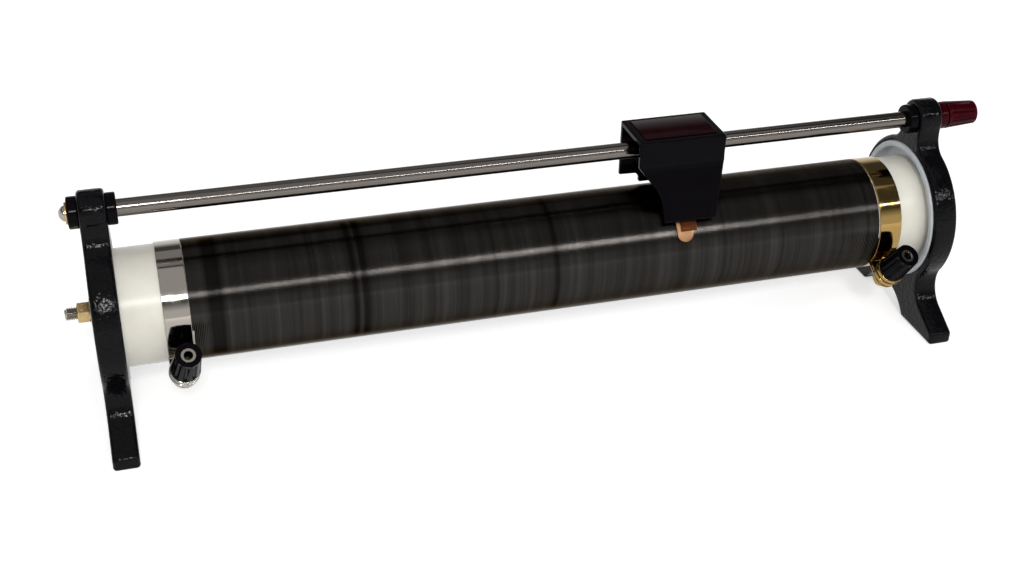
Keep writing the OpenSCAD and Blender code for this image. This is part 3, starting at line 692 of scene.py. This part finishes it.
def round_end(to_tip, width, least):
    """Half width of a strip that closes in a half circle: width / 2 * sqrt(1 - (1 - t)^2), where
    t is the way to the tip in half widths, and what is under the root stays above least."""
    t = np.clip(to_tip / (width / 2), 0, 1)
    return width / 2 * np.sqrt(np.clip(1 - (1 - t) ** 2, least, 1))


print("section of", section_rule().shape[1], "points")

# %% [markdown]
# ## Clamp bands
#
# A plated strip grips each end of the winding. Both its ends are bent outwards into ears, and
# the terminal post's stud draws them together. A ring and two plates would show a seam where
# they meet, so it is one strip. The real ears lean a little to the right, so it is twisted there.

# %% The two bands
BAND_T, BAND_W, BAND_EDGE = 0.8, 11.6, 0.2
BAND_OPEN = 7  # degrees to each side of the ears where the band starts to bend out
EAR_T, EAR_GAP, EAR_OUT = 1.0, 0.8, 42.55
EAR_BEND, EAR_ROOT, LEAN_RUN = 1.4, 1.0, 3.0
TIP_ROWS, TIP_LEAST = 12, 0.03
EAR_DROP, EAR_LEAN = math.radians(36), math.radians(6)
OUT = np.array([-math.cos(EAR_DROP), -math.sin(EAR_DROP)])
OVER = np.array([-math.sin(EAR_DROP), math.cos(EAR_DROP)])


def clamp_band(node):
    """An ear, once around the tube, and an ear: the middle line in the plane of OUT and OVER.
    An ear leans over a short run, and closes in a half circle over its last half width."""
    radius = TUBE_R + FIT + BAND_T / 2
    rise = (EAR_GAP + EAR_T) / 2
    root = (math.sqrt(radius ** 2 - rise ** 2), rise)
    loop = arc((0, 0), radius, BAND_OPEN, 360 - BAND_OPEN, 100)
    tip = EAR_OUT - BAND_W / 2 * (1 - np.cos(np.linspace(0, np.pi / 2, TIP_ROWS)))
    ear = soften([(tip[-1], rise), root, loop[0]], EAR_BEND, 6)[1:-1]
    ear = np.concatenate([np.column_stack([tip, np.full(TIP_ROWS, rise)]), ear])
    flat = np.concatenate([ear, loop, ear[::-1] * (1, -1)])
    path = flat[:, :1] * OUT + flat[:, 1:] * OVER
    lean = np.clip((flat[:, 0] - radius) / LEAN_RUN, 0, 1) * EAR_LEAN
    twist = np.where(np.arange(len(flat)) < len(flat) // 2, -lean, lean)
    thick = np.where(flat[:, 0] > radius + EAR_ROOT, EAR_T, BAND_T)
    middle = middle_of(node)[0]
    half = round_end(EAR_OUT - flat[:, 0], BAND_W, TIP_LEAST)
    return strip(*both_faces(path, thick), middle - half, middle + half, BAND_EDGE, twist)


# The right band takes the gold-tinted plating, a painted reflection.
for node, plating in (("left_clamp_band", chrome), ("right_clamp_band", gold_reflection_nickel)):
    piece(node + "_bent", clamp_band(node), plating, node)
    print(node, "middle", middle_of(node).round(2))

# %% [markdown]
# ## Rods, nuts and bushes
#
# These are all turned pieces, so each is a profile carried around its axis. A thread is the
# same surface with its radius made to follow the angle, and a nut is a lathe too: its radius is
# the smaller of a hexagon's and a cone's, which gives the curved chamfer of a real nut.

# %% Threads and hexagons
THREAD_FINE = 8  # rows of points to each pitch
NUT_CHAMFER, CHAMFER_SLOPE = 0.1, 1.7
CORNER_SPARE = 0.01  # keeps the profile just outside the hexagon's corners


def thread(pitch, depth, runs):
    """A reshape rule: the radius drops by depth * (1 + cos) / 2 once per pitch along the axis
    and once per turn, on each run from a start to an end."""
    def rule(along, out, angle):
        wave = (1 + np.cos(2 * np.pi * along / pitch - angle)) / 2
        inside = sum(((along >= a) & (along <= b)).astype(float) for a, b in runs)
        return out - depth * wave * inside
    return rule


def hex_nut(low, high, hole, flats, origin, axis=(1, 0, 0)):
    """A nut's surface: a closed profile, with enough rows near both faces to show the chamfer,
    carried around the axis. Its outer radius is the least of a hexagon's, flats / 2 / cos(angle
    to the nearest flat), and of a cone that leaves the flats' circle at both ends."""
    def rule(along, out, angle):
        near = (angle + np.pi / 6) % (np.pi / 3) - np.pi / 6
        hexed = flats / 2 / np.cos(near)
        cone = flats / 2 + NUT_CHAMFER + np.minimum(along - low, high - along) * CHAMFER_SLOPE
        least = np.minimum(np.minimum(hexed, cone), out)
        return np.where(out > flats / 3, least, out + 0 * angle)

    corner = flats / 2 / math.cos(math.pi / 6) + CORNER_SPARE
    rows = np.linspace(0, 1, 6) * (high - low) / 4
    sides = np.concatenate([low + rows, high - rows[::-1]])
    wall = np.column_stack([sides, np.full(len(sides), corner)])
    profile = np.concatenate([[(low, hole)], wall, [(high, hole)]])
    return lathe(profile, origin, axis, ring=True, reshape=rule)


print("rows to each pitch:", THREAD_FINE)

# %% Tie rod with its nuts and washers
TIE_R, TIE_CHAMFER = radius_of("tie_rod"), 0.8
TIE_PITCH, TIE_THREAD_DEPTH, TIE_THREADED = 1.0, 0.55, 26.0
TIE_AF, TIE_NUT_H = 9.0, 5.5
TIE_WASHER_R, TIE_WASHER_T = radius_of("tie_rod_washers"), 1.2


def end_spans(node, length):
    """The spans in X of two like pieces in one node, each from an end of its box inwards."""
    low, high = ends_of(node)
    return [(low, low + length), (high - length, high)]


low, high = ends_of("tie_rod")
step = TIE_PITCH / THREAD_FINE
rows = np.concatenate([np.arange(low + TIE_CHAMFER, low + TIE_THREADED, step),
                       np.arange(high - TIE_THREADED, high - TIE_CHAMFER, step)])
rod_line = np.concatenate([[(low, 0), (low, TIE_R - TIE_CHAMFER)],
                           np.column_stack([rows, np.full(len(rows), TIE_R)]),
                           [(high, TIE_R - TIE_CHAMFER), (high, 0)]])
cut = thread(TIE_PITCH, TIE_THREAD_DEPTH, [(low + TIE_CHAMFER / 2, low + TIE_THREADED),
                                           (high - TIE_THREADED, high - TIE_CHAMFER / 2)])
piece("tie_rod_threaded", [lathe(rod_line, axis_at, steps=48, reshape=cut)], chrome,
      "tie_rod")
piece("tie_rod_hex_nuts", [hex_nut(a, b, TIE_R + FIT, TIE_AF, axis_at)
                           for a, b in end_spans("tie_rod_nuts", TIE_NUT_H)],
      brass, "tie_rod_nuts")
discs = [soften_loop(ring_profile(a, b, TIE_HOLE_R, TIE_WASHER_R), 0.3)
         for a, b in end_spans("tie_rod_washers", TIE_WASHER_T)]
piece("tie_rod_flat_washers", [lathe(disc, axis_at, ring=True) for disc in discs], chrome,
      "tie_rod_washers")
print("tie rod from", low.round(2), "to", high.round(2))

# %% Slide rod, bushes and the end of the rod
SLEEVE_R, FLANGE_T = 5.5, 4.5
BUSH_ROUND = [0.2, 0.9, 0.5, 0.1, 0.2, 0.2]
END_HOLE_R = 2.2
ROD_R = radius_of("slide_rod")
rod_at = np.array([0, 0, ROD_Z])
# The rod's darker, browner plating is a painted reflection.
turned("slide_rod_polished", ring_profile(*ends_of("slide_rod"), 0, ROD_R), 0.6, rod_nickel_dark_reflection,
       "slide_rod", rod_at, solid=True, steps=64)


def bush(node, flange_side):
    """A flanged bush: the flange stands on the plate's face and its sleeve sits in the bore."""
    inner, outer = ends_of(node)[::flange_side]
    face = outer - flange_side * FLANGE_T
    flange_r, hole = radius_of(node), ROD_R + FIT
    turned(node + "_moulded", [(outer, hole), (outer, flange_r), (face, flange_r),
                               (face, SLEEVE_R), (inner, SLEEVE_R), (inner, hole)],
           BUSH_ROUND, black, node, rod_at)


bush("left_outer_bush", -1)
bush("left_inner_bush", 1)
bush("right_inner_bush", -1)
disc = ring_profile(*ends_of("rod_end_washer"), END_HOLE_R, radius_of("rod_end_washer"))
turned("rod_end_flat_washer", disc, 0.25, brass, "rod_end_washer", rod_at)
smooth_copy("rod_end_dome_screw", chrome, "rod_end_screw")
print("rod and bushes at z =", ROD_Z.round(2))

# %% [markdown]
# ## Terminal posts
#
# Each post is a plated stud with a plug socket in its end, a collar, and a fluted cap that
# screws down on a wire. A cap is a lathe whose radius dips at every flute, and the dip fades
# towards the round end, as a milling cutter that leaves the work would make it.

# %% Posts
FLUTES, FLUTE_DEPTH, FLUTE_ROUND = 10, 0.8, 0.7
FLUTE_START, FLUTE_RISE, FLUTE_FADE = 0.6, 1.5, 2.5
CAP_D, CAP_END_D, CAP_L, CAP_WALL = 13.6, 11.6, 16.2, 2.2
CAP_NOTCH, CAP_HOLE_R, CAP_ROWS = 0.5, 3.55, 18
CAP_FOOT_ROUND, CAP_END_ROUND, CAP_PLAIN_ROUND = 1.2, 2.4, 0.02
INSERT_R, INSERT_L = 4.7, 8.8
STUD_R, STUD_THREAD_R = 3.25, 2.0


def flutes(along, out, angle):
    """A reshape rule for the cap's outside: round grooves, each the upper half of a cosine to a
    power under 1, that rise above the foot and fade towards the end."""
    groove = np.maximum(0, np.cos(FLUTES * angle)) ** FLUTE_ROUND
    rise = np.clip((along - CAP_NOTCH - FLUTE_START) / FLUTE_RISE, 0, 1)
    reach = rise * np.clip((CAP_L + CAP_NOTCH - along) / FLUTE_FADE, 0, 1)
    return out - np.where(out > CAP_END_D / 2 - CAP_WALL, FLUTE_DEPTH * groove * reach, 0)


def cap_profile():
    """Closed profile of a cap: an outer wall with a slight taper, a round end, and the bore
    that widens where the threaded insert sits."""
    foot, top = CAP_NOTCH, CAP_NOTCH + CAP_L
    wall = np.column_stack([np.linspace(foot, top, CAP_ROWS),
                            np.linspace(CAP_D, CAP_END_D, CAP_ROWS) / 2])
    line = [(foot, INSERT_R + FIT), *wall, (top, CAP_HOLE_R), (foot + INSERT_L, CAP_HOLE_R),
            (foot + INSERT_L, INSERT_R + FIT)]
    radius = np.full(len(line), CAP_PLAIN_ROUND)
    radius[[1, CAP_ROWS]] = CAP_FOOT_ROUND, CAP_END_ROUND
    return soften_loop(line, radius, 5)


def post(name, seat, axis, finish):
    """The cap and insert of one post, on its own two bodies, and its stud."""
    surface = lathe(cap_profile(), seat, axis, 144, True, flutes)
    piece(name + "_fluted_cap", [surface], finish, name + "_cap", name + "_knob")
    sleeve = ring_profile(CAP_NOTCH, CAP_NOTCH + INSERT_L, STUD_R + FIT, INSERT_R)
    turned(name + "_brass_insert", sleeve, 0.3, brass, name + "_insert", seat, axis,
           name + "_lifter")
    smooth_copy(name + "_socket_stud", chrome, name + "_stud")


print("cap profile of", len(cap_profile()), "points")

# %% The two posts on the bands
COLLAR_H, COLLAR_RIM, COLLAR_GROOVE, COLLAR_PROUD = 5.0, 2.0, 1.1, 0.2
COLLAR_ROUND = [0.1, 0.4, 0.5, 0.3, 0.3, 0.5, 0.6, 0.2]
POST_WASHER_R, POST_WASHER_T = 4.8, 0.8
POST_AF, POST_NUT_H = 7.6, 3.2
SEAT_BACK = 10.6
EAR_TOP = EAR_GAP / 2 + EAR_T
mounts = {m["name"]: m for m in frame["record"]["mounts"]}


def seat_of(socket):
    """Seat and axis of a post: its socket's middle, moved back along the socket's axis."""
    axis = np.array(mounts[socket]["axis"])
    return np.array(mounts[socket]["pos_m"]) / MM - SEAT_BACK * axis, axis


# The right post's collar, washer and nut take the gold-tinted plating, a painted reflection.
for side, plating in (("left", chrome), ("right", gold_reflection_nickel)):
    name = side + "_post"
    seat, axis = seat_of(side + "_socket")
    post(name, seat, axis, black)
    ear = seat - (COLLAR_H + EAR_TOP) * axis
    foot, top, hole = EAR_TOP, EAR_TOP + COLLAR_H, STUD_R + LOOSE
    rim, neck = CAP_D / 2 + COLLAR_PROUD, CAP_D / 2 - COLLAR_GROOVE
    turned(name + "_base_collar", [(foot, hole), (foot, rim), (foot + COLLAR_RIM, rim),
                                   (foot + COLLAR_RIM, neck), (top - COLLAR_RIM, neck),
                                   (top - COLLAR_RIM, rim), (top, rim), (top, hole)],
           COLLAR_ROUND, plating, name + "_collar", ear, axis)
    under = -EAR_TOP - POST_WASHER_T
    disc = ring_profile(under, -EAR_TOP, STUD_THREAD_R + LOOSE, POST_WASHER_R)
    turned(name + "_flat_washer", disc, 0.2, plating, name + "_washer", ear, axis)
    nut = hex_nut(under - POST_NUT_H, under, STUD_THREAD_R + FIT, POST_AF, ear, axis)
    piece(name + "_hex_nut", [nut], plating, name + "_nut")
    print(name, "seat at", seat.round(2))

# %% The red post on the rod's end
ROD_BORE = 3.5  # how deep the rod's bore goes into the base beyond the plate's face
RED_ROUND = [0.2, 0.2, 0.1, 0.4, 0.6, 0.2, 0.1, 0.1]
red_seat, red_axis = seat_of("red_socket")
post("red_post", red_seat, red_axis, red)
low, high = ends_of("red_post_base")
face = ends_of("right_end_plate")[1]
red_r, stud_hole, rod_hole = radius_of("red_post_base"), STUD_R + LOOSE, ROD_R + FIT
turned("red_post_moulded_base", [(low, rod_hole), (low, SLEEVE_R), (face, SLEEVE_R),
                                 (face, red_r), (high, red_r), (high, stud_hole),
                                 (face + ROD_BORE, stud_hole), (face + ROD_BORE, rod_hole)],
       RED_ROUND, red, "red_post_base", rod_at)
print("red post seat at", red_seat.round(2))

# %% [markdown]
# ## The slider
#
# A moulded hood sits over the rod. Its ends are open, its front wall runs down into a tongue,
# with an eased shoulder on the left and a straight taper on the right, and its back wall ends in
# a short lip. It could be cut out of a bent sheet. Here it is one strip: its lines run from the
# tongue's tip up, over the top and down to the lip, and its two edges in X follow the outline.
# The leaves under it are thin strips of the same kind.

# %% The hood
HOOD_WALL, HOOD_Y, HOOD_EDGE = 2.5, 14.0, 0.55
FRONT_FOOT, BACK_FOOT = 47.35, 32.05
TONGUE_FOOT, LIP_FOOT = 22.11, 26.68
TONGUE_W, TONGUE_SHIFT = 26.4, 2.0
SHOULDER, SHOULDER_ROUND, LIP_FILLET = 13.4, 7.0, 4.0
BELOW_TIP, INNER_DROP = 5.0, 0.6
OUTER_ROUND, INNER_ROUND = [2.5, 1.1, 1.1, 0.5], [2.5, 0.5, 0.5, 0.5]
RUN_ROWS = 90
low, high = corners_of("slider_housing")
hood_x, hood_half = (low[0] + high[0]) / 2, (high[0] - low[0]) / 2
hood_top = high[2] - AXIS_Z
tongue_out = np.array([low[1], TONGUE_FOOT])
tongue_left, tongue_right = TONGUE_SHIFT - TONGUE_W / 2, TONGUE_SHIFT + TONGUE_W / 2


def front_edges(z):
    """Left and right edge in X of the front wall at height z. On the left a slope leads into
    the tongue and is eased where it meets it; on the right one straight taper runs to the tip."""
    left = soften([(-hood_half, FRONT_FOOT), (tongue_left, FRONT_FOOT - SHOULDER),
                   (tongue_left, TONGUE_FOOT - BELOW_TIP)], SHOULDER_ROUND, 10)[::-1]
    right = [(tongue_right, TONGUE_FOOT), (hood_half, FRONT_FOOT)]
    return [np.interp(z, heights, x) for x, heights in (np.transpose(left), np.transpose(right))]


def back_edges(z):
    """Left and right edge in X of the back wall at height z: the whole wall above, the lip
    below, and between them a quarter circle that starts level at the wall's foot and ends
    upright."""
    drop = np.clip((BACK_FOOT - z) / LIP_FILLET, 0, 1)
    swell = LIP_FILLET * (1 - np.sqrt(1 - (1 - drop) ** 2))
    whole = z >= BACK_FOOT
    return (np.where(whole, -hood_half, tongue_left - swell),
            np.where(whole, hood_half, tongue_right + swell))


def refine(line):
    """The first and last straight run of a line cut into many rows, for the curved edges."""
    fine = np.linspace(0, 1, RUN_ROWS)[:, None]
    first = line[0] + fine[:-1] * (line[1] - line[0])
    last = line[-2] + fine[1:] * (line[-1] - line[-2])
    return np.concatenate([first, line[1:-1], last])


lean = np.arctan2(-(tongue_out[0] + HOOD_Y), FRONT_FOOT - TONGUE_FOOT)
tongue_in = tongue_out + HOOD_WALL * np.array([math.cos(lean), -math.sin(lean)])
in_y, in_top = HOOD_Y - HOOD_WALL, hood_top - HOOD_WALL
outer = refine(soften([tongue_out, (-HOOD_Y, FRONT_FOOT), (-HOOD_Y, hood_top),
                       (HOOD_Y, hood_top), (HOOD_Y, BACK_FOOT), (HOOD_Y, LIP_FOOT)],
                      OUTER_ROUND))
inner = refine(soften([tongue_in, (-in_y, FRONT_FOOT - INNER_DROP), (-in_y, in_top),
                       (in_y, in_top), (in_y, BACK_FOOT), (in_y, LIP_FOOT)], INNER_ROUND))
front_left, front_right = front_edges(np.where(outer[:, 0] < 0, outer[:, 1], hood_top))
back_left, back_right = back_edges(np.where(outer[:, 0] > 0, outer[:, 1], hood_top))
hood = strip(outer, inner, hood_x + np.maximum(front_left, back_left),
             hood_x + np.minimum(front_right, back_right), HOOD_EDGE)
piece("slider_hood", hood, black, "slider_housing", "slider")
print("hood of", pieces["slider_hood"], "faces")

# %% Leaves, label and the parts inside the hood
LEAF_W, LEAF_BACK, LEAF_BEND, LEAF_EDGE = 8.0, 7.0, 1.0, 0.12
CONTACT_T, CONTACT_R, CONTACT_Y, CONTACT_TIP = 0.8, 28.75, -10.52, 24
BACKING_T, BACKING_R, BACKING_Y, BACKING_TIP = 0.6, 29.75, -11.72, 34
BACKING_SHIFT = 2.0
BOW_START, TIP_THIN = 3, 0.02
LABEL_EDGE, CARRIAGE_EDGE = 0.15, 0.4
CARRIAGE_FOOT = corners_of("slider_carriage")[0][2] - AXIS_Z


def leaf_path(flat_z, drop_y, radius, tip):
    """Flat under the carriage, straight down, then an arc around the winding to the tip."""
    meet = math.degrees(math.acos(-drop_y / radius))
    bow = arc((0, 0), radius, 180 - meet + BOW_START, 180 - tip, 40)
    root = (drop_y, math.sqrt(radius ** 2 - drop_y ** 2))
    drop = soften([(LEAF_BACK, flat_z), (drop_y, flat_z), root, bow[0]], LEAF_BEND)
    return np.concatenate([drop[:-1], bow])


def leaf(node, path, thick, middle, half, finish):
    """A leaf: the strip of one path, with half its width to each side of its middle."""
    surfaces = strip(*both_faces(path, thick), middle - half, middle + half, LEAF_EDGE)
    piece(node + "_sprung", surfaces, finish, node, "slider")


contact = leaf_path(CARRIAGE_FOOT - BACKING_T - CONTACT_T / 2, CONTACT_Y, CONTACT_R, CONTACT_TIP)
to_tip = np.linalg.norm(contact - contact[-1], axis=1)
leaf("contact_leaf", contact, CONTACT_T, hood_x, round_end(to_tip, LEAF_W, TIP_THIN), copper)
# The backing leaf's nearly black copper is painted shade under the hood.
backing = leaf_path(CARRIAGE_FOOT - BACKING_T / 2, BACKING_Y, BACKING_R, BACKING_TIP)
leaf("backing_leaf", backing, BACKING_T, hood_x + BACKING_SHIFT, LEAF_W / 2, copper_painted_shade)

low, high = corners_of("slider_label")
top_line = np.array([(low[1], high[2] - AXIS_Z), (high[1], high[2] - AXIS_Z)])
label = strip(top_line, top_line - (0, high[2] - low[2]), low[0], high[0], LABEL_EDGE)
piece("slider_bare_label", label, maroon, "slider_label", "slider")
smooth_copy("carriage_block", brass, "slider_carriage", "slider", CARRIAGE_EDGE)
for held in ("leaf", "housing"):
    smooth_copy(held + "_dome_screws", chrome, held + "_screws", "slider")
print("pieces:", len(pieces), "faces:", sum(pieces.values()))

# %% [markdown]
# ## Floor, light and camera
#
# The floor is a wide pale sheet. It is lit to a little under white, and a part that only the
# camera and reflections see lifts it to white, so the object gets no extra light and its shadow
# stays. Around it the world is white near the horizon, as a studio's curved backdrop is, and
# dark overhead, because bright metal only looks like metal with something dark to reflect. One
# wide panel overhead gives the soft light, and a weaker one behind it brings out the top of the
# winding. A long strip above the camera draws the light line along the winding, and a small lamp
# beside it wakes the specks in the enamel.

# %% Floor
FLOOR_HALF, FLOOR_LINES = 3000.0, 9
line = np.linspace(-FLOOR_HALF, FLOOR_HALF, FLOOR_LINES)
floor_x, floor_y = np.meshgrid(line, line, indexing="ij")
floor_points = np.stack([floor_x, floor_y, 0 * floor_x], axis=-1).reshape(-1, 3) * MM
floor_mesh = bpy.data.meshes.new("floor")
floor_mesh.from_pydata(floor_points, [], grid_faces(FLOOR_LINES, FLOOR_LINES)[:, ::-1].tolist())
floor = in_scene("floor", floor_mesh)
print("floor", 2 * FLOOR_HALF * MM, "m wide")

# %% The floor's paper
LIFT_NEAR, LIFT_FAR = 0.56, 1.0
NEAR, FAR = 0.5, 2.2
paper = new_finish("white_paper", (0.90, 0.90, 0.90), 0.9, Specular_IOR_Level=0.0,
                   Emission_Color=(1, 1, 1, 1))
graded(paper, "Base Color", noise_of(paper, 3, detail=2), [(0.2, 0.89), (0.8, 0.91)])
rays = node_of(paper, "LightPath").outputs
seen = combine(paper, "Math", "MAXIMUM", rays["Is Camera Ray"], rays["Is Glossy Ray"])
seen = combine(paper, "Math", "MAXIMUM", seen, rays["Is Transmission Ray"])
spot = node_of(paper, "TexCoord").outputs["Object"]
away = node_of(paper, "VectorMath", operation="LENGTH", Vector=spot).outputs["Value"]
lift = node_of(paper, "MapRange", Value=away, From_Min=NEAR, From_Max=FAR, To_Min=LIFT_NEAR,
               To_Max=LIFT_FAR).outputs["Result"]
into(paper, "Emission Strength", combine(paper, "Math", "MULTIPLY", seen, lift))
floor_mesh.materials.append(paper)
print("paper lifted by", LIFT_NEAR, "to", LIFT_FAR)

# %% World
SKY = [(0.2, 1.0), (0.45, 0.1)]  # sine of the angle above the horizon, grey
world = bpy.data.worlds.new("studio")
bpy.context.scene.world = world
world.use_nodes = True
way = node_of(world, "TexCoord").outputs["Generated"]
height = node_of(world, "SeparateXYZ", Vector=way).outputs["Z"]
glow = world.node_tree.nodes["Background"].inputs["Color"]
world.node_tree.links.new(ramp_of(world, height, SKY), glow)
print("sky, as sine and grey:", SKY)

# %% Lamps and camera
AIM = Vector((0, 0, AXIS_Z * MM))


def lamp(name, place, size, power):
    """A rectangular soft lamp that looks at the tube."""
    light = bpy.data.lights.new(name, "AREA")
    light.shape = "RECTANGLE"
    light.size, light.size_y = size
    light.energy = power
    thing = in_scene(name, light)
    thing.location = place
    thing.rotation_euler = (AIM - Vector(place)).to_track_quat("-Z", "Y").to_euler()


lamp("front_flash", (-0.25, -1.5, 1.2), (0.2, 0.2), 8.5)
lamp("front_strip", (0.45, -1.5, 1.15), (2.2, 0.06), 12)
lamp("overhead_panel", (-0.3, -0.8, 2.05), (3.2, 2.2), 13.0)
lamp("back_panel", (-0.3, 0.95, 1.84), (3.2, 1.45), 4.6)

CAMERA_AT = (-0.1930, -0.5883, 0.4056)
SENSOR, LENS, CLIP_START = 36.0, 51.35, 0.01
PITCH, YAW, ROLL = math.radians(31.0), math.radians(16.74), math.radians(1.15)
camera = in_scene("camera", bpy.data.cameras.new("camera"))
camera.data.sensor_width = SENSOR
camera.data.lens = LENS
camera.data.clip_start = CLIP_START
camera.location = CAMERA_AT
aim = Matrix.Rotation(-YAW, 3, "Z") @ Matrix.Rotation(math.pi / 2 - PITCH, 3, "X")
camera.rotation_euler = (aim @ Matrix.Rotation(ROLL, 3, "Z")).to_euler()
bpy.context.scene.camera = camera
bpy.context.scene.view_settings.view_transform = "Standard"
print("camera at", CAMERA_AT, "lens", LENS)
